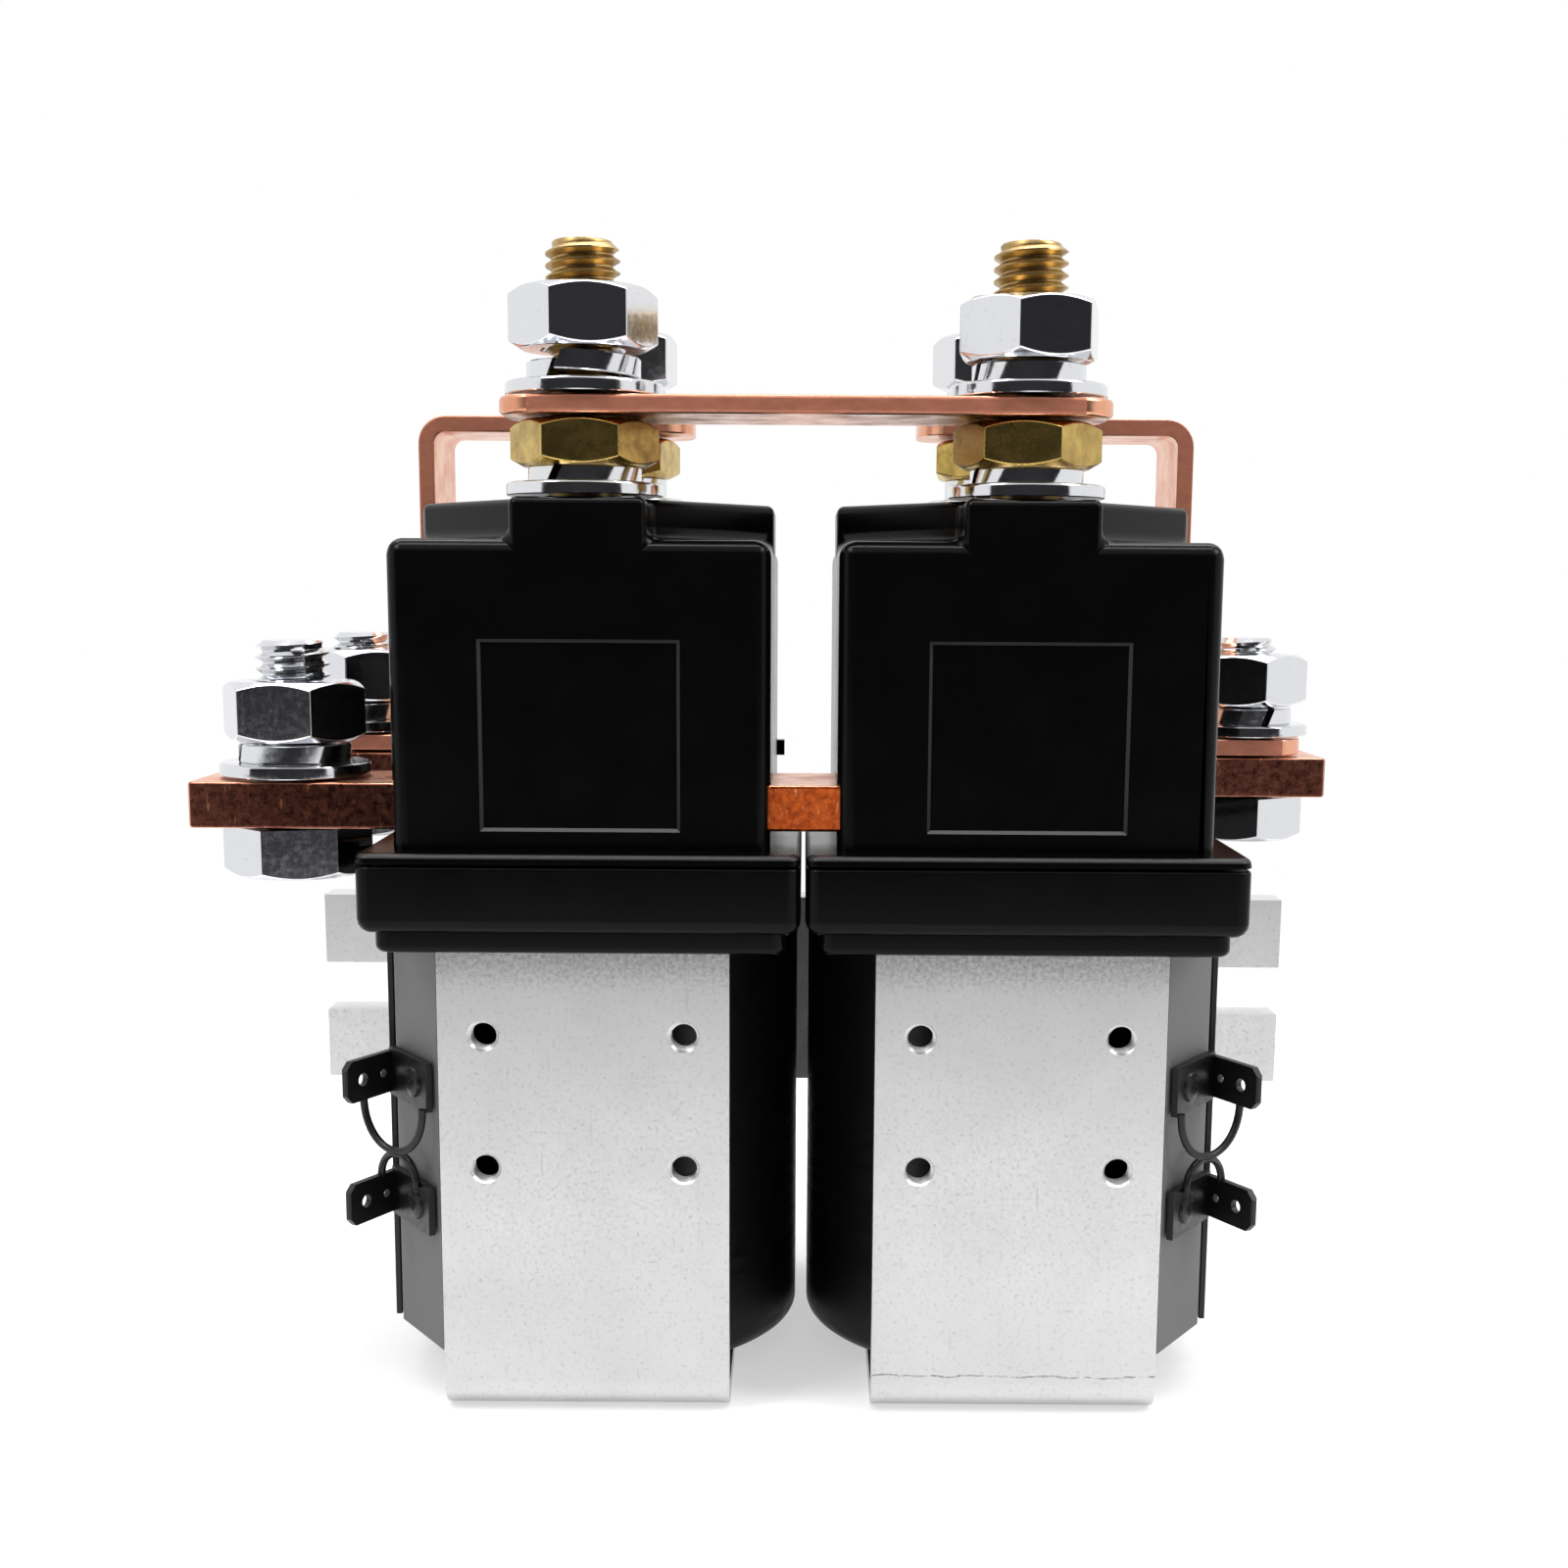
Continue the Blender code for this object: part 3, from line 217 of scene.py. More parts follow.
def mixed(share, first, second):
    """Two colours mixed by a share; each is an sRGB hex code, a linear colour or a socket."""
    made = add_node(share.id_data, "Mix", {"data_type": "RGBA"}, {0: share})
    for place, value in ((6, first), (7, second)):
        if isinstance(value, bpy.types.NodeSocket):
            feed(made, place, value)
        else:
            made.inputs[place].default_value = linear(value) if isinstance(value, str) else value
    return made.outputs[2]


def bump(height, strength, distance):
    settings = {"Strength": strength, "Distance": distance}
    return add_node(height.id_data, "Bump", settings, {"Height": height}).outputs["Normal"]


def new_material(name, color, roughness, metallic=0.0, **sockets):
    """A material, its Principled shader and the object's own coordinates."""
    made = bpy.data.materials.new(name)
    made.use_nodes = True
    tree = made.node_tree
    shader = tree.nodes["Principled BSDF"]
    shader.inputs["Base Color"].default_value = linear(color)
    shader.inputs["Roughness"].default_value = roughness
    shader.inputs["Metallic"].default_value = metallic
    for socket, value in sockets.items():
        shader.inputs[socket.replace("_", " ")].default_value = value
    made.diffuse_color = linear(color)
    place = tree.nodes.new("ShaderNodeTexCoord").outputs["Object"]
    return made, shader, place


def phenolic_moulding():
    """Black moulding compound: satin skin with a faint flow mottle, so highlights stay soft and thin."""
    made, shader, place = new_material("black_phenolic_moulding", "040404", 0.21, Specular_IOR_Level=0.11)
    cloud = noise(place, 6 * MM, 4)
    grain = noise(place, 0.25 * MM, 2)
    feed(shader, "Roughness", ramp(cloud, [(0.3, 0.19), (0.7, 0.24)]))
    feed(shader, "Base Color", mixed(cloud, "030303", "050505"))
    feed(shader, "Normal", bump(grain, 0.08, 0.02 * MM))
    return made


def painted_highlight_moulding():
    """The moulding's sloped panel rim and flange edge, painted a dull grey line that stands for their edge
    highlight.
    """
    made, shader, place = new_material("painted_highlight_moulding_rim", "1a1a1a", 0.4, Specular_IOR_Level=0.3)
    # Painted highlight: a mottled pale grey on the sloped rims stands in for their thin edge glints
    rub_and_highlight_mottle = noise(place, 1.2 * MM, 4, 0.7)
    feed(shader, "Base Color", mixed(rub_and_highlight_mottle, "131313", "222222"))
    return made


def wound_tape():
    """Black polyester tape on the coil: its laps show as faint level steps in a dull sheen."""
    made, shader, place = new_material("black_coil_tape", "080808", 0.42, Specular_IOR_Level=0.35)
    bands = {"wave_type": "BANDS", "bands_direction": "Z", "Scale": per(150 * MM), "Distortion": 0.4}
    laps = add_node(place.id_data, "TexWave", bands, {"Vector": place})
    wrinkle = noise(stretched(place, (1, 1, 4)), 3 * MM, 3)
    height = mixed(wrinkle, laps.outputs["Color"], (0.5, 0.5, 0.5, 1))
    feed(shader, "Normal", bump(height, 0.25, 0.12 * MM))
    feed(shader, "Roughness", ramp(wrinkle, [(0.3, 0.36), (0.7, 0.52)]))
    return made


def water_line(place):
    """The share of a thin dried water line across the foot of the right yoke's front."""
    tree = place.id_data
    axes = add_node(tree, "SeparateXYZ", links={"Vector": place}).outputs
    wave = noise(place, 4 * MM, 3)
    broken = ramp(noise(place, 0.9 * MM, 3, 0.7), [(0.35, 0), (0.6, 1)])
    sink = {"operation": "MULTIPLY_ADD", 1: -1.2 * MM, 2: -4 * MM}
    level = add_node(tree, "Math", sink, {0: wave}).outputs[0]
    above = add_node(tree, "Math", {"operation": "ADD"}, {0: axes["Z"], 1: level}).outputs[0]
    away = add_node(tree, "Math", {"operation": "ABSOLUTE"}, {0: above}).outputs[0]
    settings = {"From Min": 0.06 * MM, "From Max": 0.16 * MM, "To Min": 0.7, "To Max": 0.0}
    line = add_node(tree, "MapRange", settings, {"Value": away}).outputs["Result"]
    line = add_node(tree, "Math", {"operation": "MULTIPLY"}, {0: line, 1: broken}).outputs[0]
    right = add_node(tree, "Math", {"operation": "GREATER_THAN", 1: 0.0}, {0: axes["X"]}).outputs[0]
    front = add_node(tree, "Math", {"operation": "LESS_THAN", 1: -20 * MM}, {0: axes["Y"]}).outputs[0]
    there = add_node(tree, "Math", {"operation": "MULTIPLY"}, {0: right, 1: front}).outputs[0]
    return add_node(tree, "Math", {"operation": "MULTIPLY"}, {0: line, 1: there}).outputs[0]


def zinc_sheet(name="zinc_plated_sheet", light="d2d2d3", dark="9fa0a2", painted_shade_under_base=True):
    """Zinc-plated mild steel sheet: pale grey spangle, fine dark specks and short handling scratches."""
    made, shader, place = new_material(name, light, 0.36, 1.0)
    speck = noise(place, 0.45 * MM, 4, 0.7)
    cloud = noise(place, 9 * MM, 4)
    lines = noise(stretched(place, (1, 1, 0.06)), 0.5 * MM, 2)
    scratch = noise(stretched(place, (1, 1, 0.08), 64), 0.7 * MM, 2)
    color = mixed(ramp(cloud, [(0.35, 0.0), (0.7, 0.45)]), light, "c3c4c5")
    color = mixed(ramp(speck, [(0.56, 0.0), (0.74, 0.6)]), color, dark)
    color = mixed(ramp(scratch, [(0.70, 0.0), (0.78, 0.3)]), color, "8e9093")
    if painted_shade_under_base:
        # Painted shadow under the base moulding: the sheet darkens towards its top, from 41 to 54 mm, in a
        # fine mottle
        tree = place.id_data
        height = add_node(tree, "SeparateXYZ", links={"Vector": place}).outputs["Z"]
        settings = {"From Min": 41 * MM, "From Max": 54 * MM, "To Min": 0.0, "To Max": 1.0}
        upper = add_node(tree, "MapRange", settings, {"Value": height}).outputs["Result"]
        shade_mottle = noise(place, 0.5 * MM, 6, 0.8)
        painted_shade = add_node(tree, "Math", {"operation": "MULTIPLY"}, {0: upper, 1: shade_mottle}).outputs[0]
        color = mixed(ramp(painted_shade, [(0.3, 0.0), (0.66, 0.85)]), color, "2a2a2c")
        color = mixed(water_line(place), color, "6f7072")
    feed(shader, "Base Color", color)
    feed(shader, "Roughness", ramp(speck, [(0.3, 0.3), (0.75, 0.5)]))
    feed(shader, "Normal", bump(lines, 0.08, 0.02 * MM))
    return made


def bright_zinc():
    """Bright zinc plate on turned and pressed fasteners: near-mirror faces, small dents and rub marks."""
    made, shader, place = new_material("bright_zinc_plate", "dddee1", 0.14, 1.0)
    dents = noise(place, 1.6 * MM, 3)
    rub_and_highlight_mottle = noise(place, 0.6 * MM, 4, 0.7)
    feed(shader, "Roughness", ramp(rub_and_highlight_mottle, [(0.45, 0.1), (0.8, 0.2)]))
    feed(shader, "Base Color", mixed(ramp(rub_and_highlight_mottle, [(0.6, 0.0), (0.85, 0.6)]), "dfe0e3", "b4b6ba"))
    feed(shader, "Normal", bump(dents, 0.1, 0.06 * MM))
    return made


def brass(name, light, dark, roughness):
    """Machined brass: warm yellow with turning lines and patches of brown tarnish."""
    made, shader, place = new_material(name, light, roughness, 1.0)
    tarnish = noise(place, 2.5 * MM, 5, 0.6)
    turning = noise(stretched(place, (0.08, 0.08, 1)), 0.16 * MM, 2)
    feed(shader, "Base Color", mixed(ramp(tarnish, [(0.4, 0.0), (0.72, 0.8)]), light, dark))
    feed(shader, "Roughness", ramp(tarnish, [(0.35, roughness), (0.7, roughness + 0.16)]))
    feed(shader, "Normal", bump(turning, 0.15, 0.03 * MM))
    return made


def copper_face():
    """Rolled copper bar: warm pink-orange faces with rolling lines and light handling tarnish."""
    made, shader, place = new_material("rolled_copper", "d98a63", 0.26, 1.0)
    tarnish = noise(place, 5 * MM, 5, 0.6)
    rolling = noise(stretched(place, (0.03, 1, 1)), 0.3 * MM, 2)
    feed(shader, "Base Color", mixed(ramp(tarnish, [(0.4, 0.0), (0.75, 0.7)]), "ebae8e", "cb7f5b"))
    feed(shader, "Roughness", ramp(tarnish, [(0.35, 0.2), (0.7, 0.38)]))
    feed(shader, "Normal", bump(rolling, 0.1, 0.02 * MM))
    return made


def copper_cut():
    """Sawn faces of the thick bars: red-brown oxide with torn flecks, painted a brighter orange between the
    covers as light falling there.
    """
    made, shader, place = new_material("sawn_copper_edge", "55322b", 0.34, 1.0)
    torn = noise(place, 0.9 * MM, 5, 0.75)
    streak = noise(stretched(place, (1, 1, 0.25)), 0.5 * MM, 3, 0.6)
    share = ramp(torn, [(0.35, 0.0), (0.6, 1.0)])
    brown = mixed(share, "42241f", "744639")
    lit_orange = mixed(share, "7a3016", "a84f22")
    tree = place.id_data
    across = add_node(tree, "SeparateXYZ", links={"Vector": place}).outputs["X"]
    away = add_node(tree, "Math", {"operation": "ABSOLUTE"}, {0: across}).outputs[0]
    # Painted light: faces within 6 mm of the middle, between the covers, take the brighter orange, fading
    # out by 9 mm
    settings = {"From Min": 6 * MM, "From Max": 9 * MM, "To Min": 1.0, "To Max": 0.0}
    color = mixed(add_node(tree, "MapRange", settings, {"Value": away}).outputs["Result"], brown, lit_orange)
    color = mixed(ramp(streak, [(0.62, 0.0), (0.72, 0.7)]), color, "d08a62")
    feed(shader, "Base Color", color)
    feed(shader, "Roughness", ramp(torn, [(0.3, 0.24), (0.7, 0.42)]))
    feed(shader, "Normal", bump(torn, 0.35, 0.08 * MM))
    return made


def copper_sheared():
    """Sheared edges of the thin strips: matt reddish copper, half diffuse under its thin oxide."""
    made, shader, place = new_material("sheared_copper_edge", "a86a54", 0.42, 0.5)
    torn = noise(stretched(place, (0.4, 1, 1)), 0.8 * MM, 4, 0.6)
    feed(shader, "Base Color", mixed(torn, "854e3d", "b3735a"))
    feed(shader, "Normal", bump(torn, 0.25, 0.05 * MM))
    return made


def fibre_board():
    """Dark grey vulcanised fibre: dull, with a fine paper grain."""
    made, shader, place = new_material("grey_fibre_board", "545455", 0.62)
    grain = noise(place, 0.3 * MM, 4, 0.7)
    feed(shader, "Base Color", mixed(grain, "464646", "5c5c5c"))
    feed(shader, "Normal", bump(grain, 0.2, 0.04 * MM))
    return made


def black_finish():
    """Blackened steel tabs and black fibre sheet: dull black with worn grey rubs."""
    made, shader, place = new_material("black_oxide_finish", "0b0b0c", 0.38, Specular_IOR_Level=0.4)
    wear = noise(place, 0.8 * MM, 4, 0.7)
    feed(shader, "Base Color", mixed(ramp(wear, [(0.6, 0.0), (0.85, 0.5)]), "09090a", "2c2c2d"))
    feed(shader, "Roughness", ramp(wear, [(0.4, 0.34), (0.7, 0.5)]))
    return made


def magnet_iron():
    """Soft iron and spring wire inside the housings: machined grey steel."""
    made, shader, place = new_material("machined_iron", "8c8d90", 0.35, 1.0)
    turning = noise(stretched(place, (0.08, 0.08, 1)), 0.2 * MM, 2)
    feed(shader, "Base Color", mixed(turning, "7f8083", "a0a1a4"))
    feed(shader, "Normal", bump(turning, 0.15, 0.03 * MM))
    return made


LOOKS = {
    "moulding": phenolic_moulding(),
    "painted_highlight": painted_highlight_moulding(),
    "tape": wound_tape(),
    "sheet": zinc_sheet(),
    "bracket": zinc_sheet("zinc_plated_flat_bar", "dadadb", "a8aaab", painted_shade_under_base=False),
    "zinc": bright_zinc(),
    "brass_nut": brass("brass_hexagon_bar", "ccb063", "8d6c40", 0.2),
    "brass_stud": brass("brass_stud_thread", "bba06a", "80623c", 0.26),
    "copper": copper_face(),
    "copper_cut": copper_cut(),
    "copper_sheared": copper_sheared(),
    "board": fibre_board(),
    "black": black_finish(),
    "iron": magnet_iron(),
}


def mesh_of(shape):
    mesh = bpy.data.meshes.new("shape")
    shape.to_mesh(mesh)
    shape.free()
    return mesh


def in_scene(name, data):
    made = bpy.data.objects.new(name, data)
    bpy.context.scene.collection.objects.link(made)
    return made


def evaluated(obj):
    """The mesh of an object with its modifiers done."""
    bpy.context.view_layer.update()
    found = obj.evaluated_get(bpy.context.evaluated_depsgraph_get())
    made = bmesh.new()
    made.from_mesh(found.to_mesh())
    found.to_mesh_clear()
    return made


def piece(name, shape, look, slot, nodes=(), bevel=0.0, angle=30, second=None):
    """A finished piece of the object on the fixed body, standing for the nodes it replaces."""
    mesh = mesh_of(shape)
    mesh.shade_smooth()
    mesh.set_sharp_from_angle(angle=radians(angle))
    made = in_scene(name, mesh)
    made.data.materials.append(LOOKS[look])
    if second:
        made.data.materials.append(LOOKS[second])
    if bevel:
        edge = made.modifiers.new("Edges", "BEVEL")
        edge.width = bevel
        edge.segments = 2
        edge.limit_method = "ANGLE"
        edge.angle_limit = radians(angle)
        edge.harden_normals = True
        edge.material = -1
    else:
        made.modifiers.new("Normals", "WEIGHTED_NORMAL").keep_sharp = True
    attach(made, ROOT)
    if nodes:
        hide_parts(*nodes)
    return made


def combined(shape, others, operation="DIFFERENCE"):
    """The shape after an exact Boolean with each of the others."""
    body = in_scene("body", mesh_of(shape))
    helpers = []
    for other in others:
        helper = in_scene("helper", mesh_of(other))
        helpers.append(helper)
        step = body.modifiers.new("Boolean", "BOOLEAN")
        step.operation = operation
        step.object = helper
        step.solver = "EXACT"
    made = evaluated(body)
    for helper in helpers + [body]:
        bpy.data.objects.remove(helper, do_unlink=True)
    return made


def moved(shape, place):
    shape.transform(Matrix.Translation(place))
    return shape


def block(x, y, z):
    """A box between pairs of limits."""
    size = [high - low for low, high in (x, y, z)]
    middle = [(high + low) / 2 for low, high in (x, y, z)]
    shape = bmesh.new()
    bmesh.ops.create_cube(shape, size=1, matrix=Matrix.LocRotScale(middle, None, size))
    return shape


def bevel(shape, edges, width, segments=4):
    bmesh.ops.bevel(
        shape, geom=edges, offset=width, segments=segments, profile=0.5, affect="EDGES", material=-1,
        clamp_overlap=True,
    )
    return shape


def upright(edge):
    return abs(edge.verts[0].co.z - edge.verts[1].co.z) > 0.5 * edge.calc_length()


def at_height(edge, z):
    return all(abs(v.co.z - z) < 0.01 * MM for v in edge.verts)


def in_mm(*points):
    return [tuple(value * MM for value in point) for point in points]


def turned(profile, steps=96):
    """Pairs of radius and height turned round the Z axis; a profile that stays off it makes a ring."""
    shape = bmesh.new()
    verts = [shape.verts.new((r, 0, z)) for r, z in profile]
    pairs = list(zip(verts, verts[1:]))
    if profile[0][0] > 0:
        pairs.append((verts[-1], verts[0]))
    edges = [shape.edges.new(pair) for pair in pairs]
    bmesh.ops.spin(
        shape, geom=verts + edges, cent=(0, 0, 0), axis=Z_AXIS, angle=2 * pi, steps=steps, use_merge=True
    )
    bmesh.ops.remove_doubles(shape, verts=shape.verts, dist=1e-7)
    bmesh.ops.recalc_face_normals(shape, faces=shape.faces)
    return shape


def facing_along(way):
    return way.to_track_quat("Z", "X").to_matrix().to_4x4()


def rod(radius, start, end, steps=48):
    """A cylinder from one point to another."""
    along = Vector(end) - Vector(start)
    place = Matrix.Translation((Vector(start) + Vector(end)) / 2) @ facing_along(along)
    shape = bmesh.new()
    bmesh.ops.create_cone(
        shape, cap_ends=True, segments=steps, radius1=radius, radius2=radius,
        depth=along.length, matrix=place,
    )
    return shape


def centre_of(node):
    """The middle of a node's box, seen from above."""
    low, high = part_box(node)
    return (low.x + high.x) / 2, (low.y + high.y) / 2


def fastener(name, shape, spot, nodes=(), **how):
    """A zinc-plated piece turned round the Z axis, set down on its stud or bolt."""
    piece(name, moved(shape, (*spot, 0)), "zinc", "zinc_fasteners", nodes, **how)


def bolt_hole(node, low, high):
    """The tool that drills a bar for a stud or bolt, from a millimetre under it to one above."""
    x, y = centre_of(node)
    return rod(THREAD_R + GAP, (x, y, low - 1 * MM), (x, y, high + 1 * MM))


def rounded(points, radii, steps=8):
    """The outline with each corner replaced by an arc of its radius."""
    outline = []
    for i, point in enumerate(points):
        corner = Vector(point)
        radius = radii if isinstance(radii, float) else radii[i]
        if radius == 0:
            outline.append(corner)
            continue
        before = (Vector(points[i - 1]) - corner).normalized()
        after = (Vector(points[(i + 1) % len(points)]) - corner).normalized()
        half = before.angle(after) / 2
        centre = corner + (before + after).normalized() * (radius / sin(half))
        start = corner + before * (radius / tan(half)) - centre
        turn = start.angle_signed(corner + after * (radius / tan(half)) - centre)
        for step in range(steps + 1):
            arm = start.copy()
            arm.rotate(Matrix.Rotation(-turn * step / steps, 2))
            outline.append(centre + arm)
    return outline


def verts_in(geometry):
    return [item for item in geometry if isinstance(item, bmesh.types.BMVert)]


def slab(outline, depth, place):
    """A flat outline drawn out by its depth, then set in place."""
    shape = bmesh.new()
    face = shape.faces.new([shape.verts.new((p[0], p[1], 0)) for p in outline])
    grown = bmesh.ops.extrude_face_region(shape, geom=[face])["geom"]
    bmesh.ops.translate(shape, vec=(0, 0, depth), verts=verts_in(grown))
    shape.transform(place)
    bmesh.ops.recalc_face_normals(shape, faces=shape.faces)
    return shape


def thread(radius, pitch, low, high, chamfer=0.0, steps=40):
    """A screw thread: one zigzag line turned round the axis, rising one pitch in a turn."""
    root = radius - 0.6 * pitch
    count = int((high - low) / pitch) + 4
    profile = []
    for i in range(count):
        z = low + (i - 2) * pitch
        profile += [(root, z), (root, z + 0.15 * pitch)]
        profile += [(radius, z + 0.5 * pitch), (radius, z + 0.62 * pitch)]
    shape = bmesh.new()
    verts = [shape.verts.new((r, 0, z)) for r, z in profile]
    edges = [shape.edges.new(pair) for pair in zip(verts, verts[1:])]
    bmesh.ops.spin(
        shape, geom=verts + edges, cent=(0, 0, 0), axis=Z_AXIS, dvec=(0, 0, pitch / steps),
        angle=2 * pi, steps=steps,
    )
    bmesh.ops.remove_doubles(shape, verts=shape.verts, dist=1e-6)
    for z, side in ((low, -1), (high, 1)):
        geom = shape.verts[:] + shape.edges[:] + shape.faces[:]
        bmesh.ops.bisect_plane(
            shape, geom=geom, plane_co=(0, 0, z), plane_no=(0, 0, side), clear_outer=True, dist=1e-7
        )
        rim = [e for e in shape.edges if e.is_boundary and at_height(e, z)]
        bmesh.ops.edgeloop_fill(shape, edges=rim)
    if chamfer:
        for vert in shape.verts:
            reach = vert.co.xy.length
            allowed = radius - chamfer + (high - vert.co.z)
            if reach > allowed:
                vert.co.xy = vert.co.xy * (allowed / reach)
    bmesh.ops.recalc_face_normals(shape, faces=shape.faces)
    return shape


def hexagon_blank(flats, low, high, bore, chamfer_low=True, chamfer_high=True, turn=0.0):
    """A turned blank with conical ends, milled to six flats, with its bore if it has one."""
    corner = flats / 2 / cos(pi / 6) + 0.2 * MM
    end = 0.475 * flats
    drop = (corner - end) * tan(radians(30))
    profile = [(end, high), (corner, high - drop)] if chamfer_high else [(corner, high)]
    profile += [(corner, low + drop), (end, low)] if chamfer_low else [(corner, low)]
    if bore:
        sink = 0.5 * MM
        profile += [(bore + sink, low), (bore, low + sink), (bore, high - sink), (bore + sink, high)]
    else:
        profile = [(0, high)] + profile + [(0, low)]
    shape = turned(profile, 120)
    for i in range(6):
        away = turn + pi / 6 + i * pi / 3
        normal = Vector((cos(away), sin(away), 0))
        geom = shape.verts[:] + shape.edges[:] + shape.faces[:]
        bmesh.ops.bisect_plane(
            shape, geom=geom, plane_co=normal * (flats / 2), plane_no=normal, clear_outer=True, dist=1e-7
        )
        bmesh.ops.edgeloop_fill(shape, edges=[e for e in shape.edges if e.is_boundary])
    bmesh.ops.recalc_face_normals(shape, faces=shape.faces)
    return shape


def flat_washer(radius, thick, low):
    """A pressed flat washer, its top edge rolled over by the die and its bottom edge crisp."""
    bore = THREAD_R + 0.35 * MM
    roll, burr, top = 0.35 * MM, 0.1 * MM, low + thick
    profile = [(bore, top), (radius - roll, top), (radius - burr, top - 0.12 * MM), (radius, top - roll)]
    return turned(profile + [(radius, low + burr), (radius - burr, low), (bore, low)])


def spring_washer(thick, low, lift, turn):
    """A split washer: a square section swept round once; a slack one rises at the start of its turn."""
    inner, outer, edge = THREAD_R + 0.2 * MM, SPRING_WASHER_R, 0.15 * MM
    top = low + thick
    section = [(inner, top - thick), (outer - edge, top - thick), (outer, top - thick + edge)]
    section += [(outer, top - edge), (outer - edge, top), (inner, top)]
    shape = bmesh.new()
    face = shape.faces.new([shape.verts.new((r, 0, z)) for r, z in section])
    steps = 72
    bmesh.ops.spin(
        shape, geom=[face], cent=(0, 0, 0), axis=Z_AXIS, angle=radians(WASHER_SWEEP), steps=steps
    )
    for vert in shape.verts:
        passed = atan2(vert.co.y, vert.co.x) % (2 * pi)
        if passed > radians(359.9):
            passed = 0
        share = passed / radians(WASHER_SWEEP)
        slant = radians(WASHER_SLANT) * (vert.co.z - low) / thick
        vert.co = Matrix.Rotation(slant, 3, "Z") @ vert.co
        vert.co.z += lift * max(0, 1 - share) ** 2.2
    shape.transform(Matrix.Rotation(turn, 4, "Z"))
    bmesh.ops.recalc_face_normals(shape, faces=shape.faces)
    return shape


def cover_body(x, base, shoulder):
    """The housing and its lozenge platform, drawn up from one plan and rounded edge by edge."""
    tongue, wide = PLATFORM_WIDTH / 2, COVER_WIDTH / 2
    front, waist = COVER_DEPTH / 2, PLATFORM_WAIST / 2
    neck = front - PLATFORM_TONGUE
    shape = bmesh.new()
    spots = {}
    marks = (("a", tongue, front), ("b", tongue, neck), ("c", wide, waist), ("d", wide, front))
    for sx in (-1, 1):
        for sy in (-1, 1):
            for mark, px, py in marks:
                spots[sx, sy, mark] = shape.verts.new((x + sx * px, sy * py, base))
            shape.faces.new([spots[sx, sy, mark] for mark in "adcb"])
    ring = [spots[1, -1, m] for m in "abc"] + [spots[1, 1, m] for m in "cba"]
    ring += [spots[-1, 1, m] for m in "abc"] + [spots[-1, -1, m] for m in "cba"]
    shape.faces.new(ring)
    grown = bmesh.ops.extrude_face_region(shape, geom=shape.faces[:])["geom"]
    bmesh.ops.translate(shape, vec=(0, 0, shoulder - base), verts=verts_in(grown))
    lozenge = next(f for f in grown if isinstance(f, bmesh.types.BMFace) and len(f.verts) == 12)
    raised = bmesh.ops.extrude_discrete_faces(shape, faces=[lozenge])["faces"][0]
    bmesh.ops.translate(shape, vec=(0, 0, PLATFORM_HEIGHT), verts=raised.verts)
    bmesh.ops.recalc_face_normals(shape, faces=shape.faces)
    weight = shape.edges.layers.float.new("bevel_weight_edge")
    widest = 2 * MM
    for edge in shape.edges:
        if len(edge.link_faces) != 2 or edge.calc_face_angle(0) < radians(10):
            continue
        high = min(v.co.z for v in edge.verts)
        if upright(edge):
            spot = edge.verts[0].co
            corner = abs(abs(spot.x - x) - wide) + abs(abs(spot.y) - front) < 0.01 * MM
            width = COVER_CORNER if corner else PLATFORM_ROUND
        elif high > shoulder + 1 * MM:
            width = PLATFORM_ROUND
        elif high > shoulder - 1 * MM:
            width = PLATFORM_FOOT if not edge.is_convex else COVER_ROUND
        else:
            continue
        edge[weight] = width / widest
    made = in_scene("body", mesh_of(shape))
    step = made.modifiers.new("Rounds", "BEVEL")
    step.width = widest
    step.segments = 5
    step.limit_method = "WEIGHT"
    shape = evaluated(made)
    bpy.data.objects.remove(made, do_unlink=True)
    return shape


def rounded_block(x, y, z, corner, top=0.0, bottom=0.0):
    """A block with rounded corners, and its top and bottom edges rolled over."""
    shape = block(x, y, z)
    bevel(shape, [e for e in shape.edges if upright(e)], corner)
    if top:
        bevel(shape, [e for e in shape.edges if at_height(e, z[1])], top)
    if bottom:
        bevel(shape, [e for e in shape.edges if at_height(e, z[0])], bottom)
    return shape


def span(low, high, axis, inset=0.0):
    return low[axis] + inset, high[axis] - inset


def bar_channels(x):
    """Room for each lower bar where it runs through a cover."""
    cuts = []
    for tag in TERMINAL_TURNS:
        low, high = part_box("lower_bar_" + tag)
        if low.x < x < high.x:
            cuts.append(block(*(span(low, high, axis, -GAP) for axis in range(3))))
    return cuts


def panel_recess(x, low):
    """The shallow label place on a cover's front, its sides sloped at 45 degrees as moulded."""
    face, (wide, tall) = -COVER_DEPTH / 2, PANEL
    shape = block((-wide / 2, wide / 2), (face - 1 * MM, face + PANEL_INSET), (-tall / 2, tall / 2))
    for vert in shape.verts:
        grown = face - vert.co.y
        vert.co.x += grown if vert.co.x > 0 else -grown
        vert.co.z += grown if vert.co.z > 0 else -grown
    return moved(shape, (x, 0, low + tall / 2))


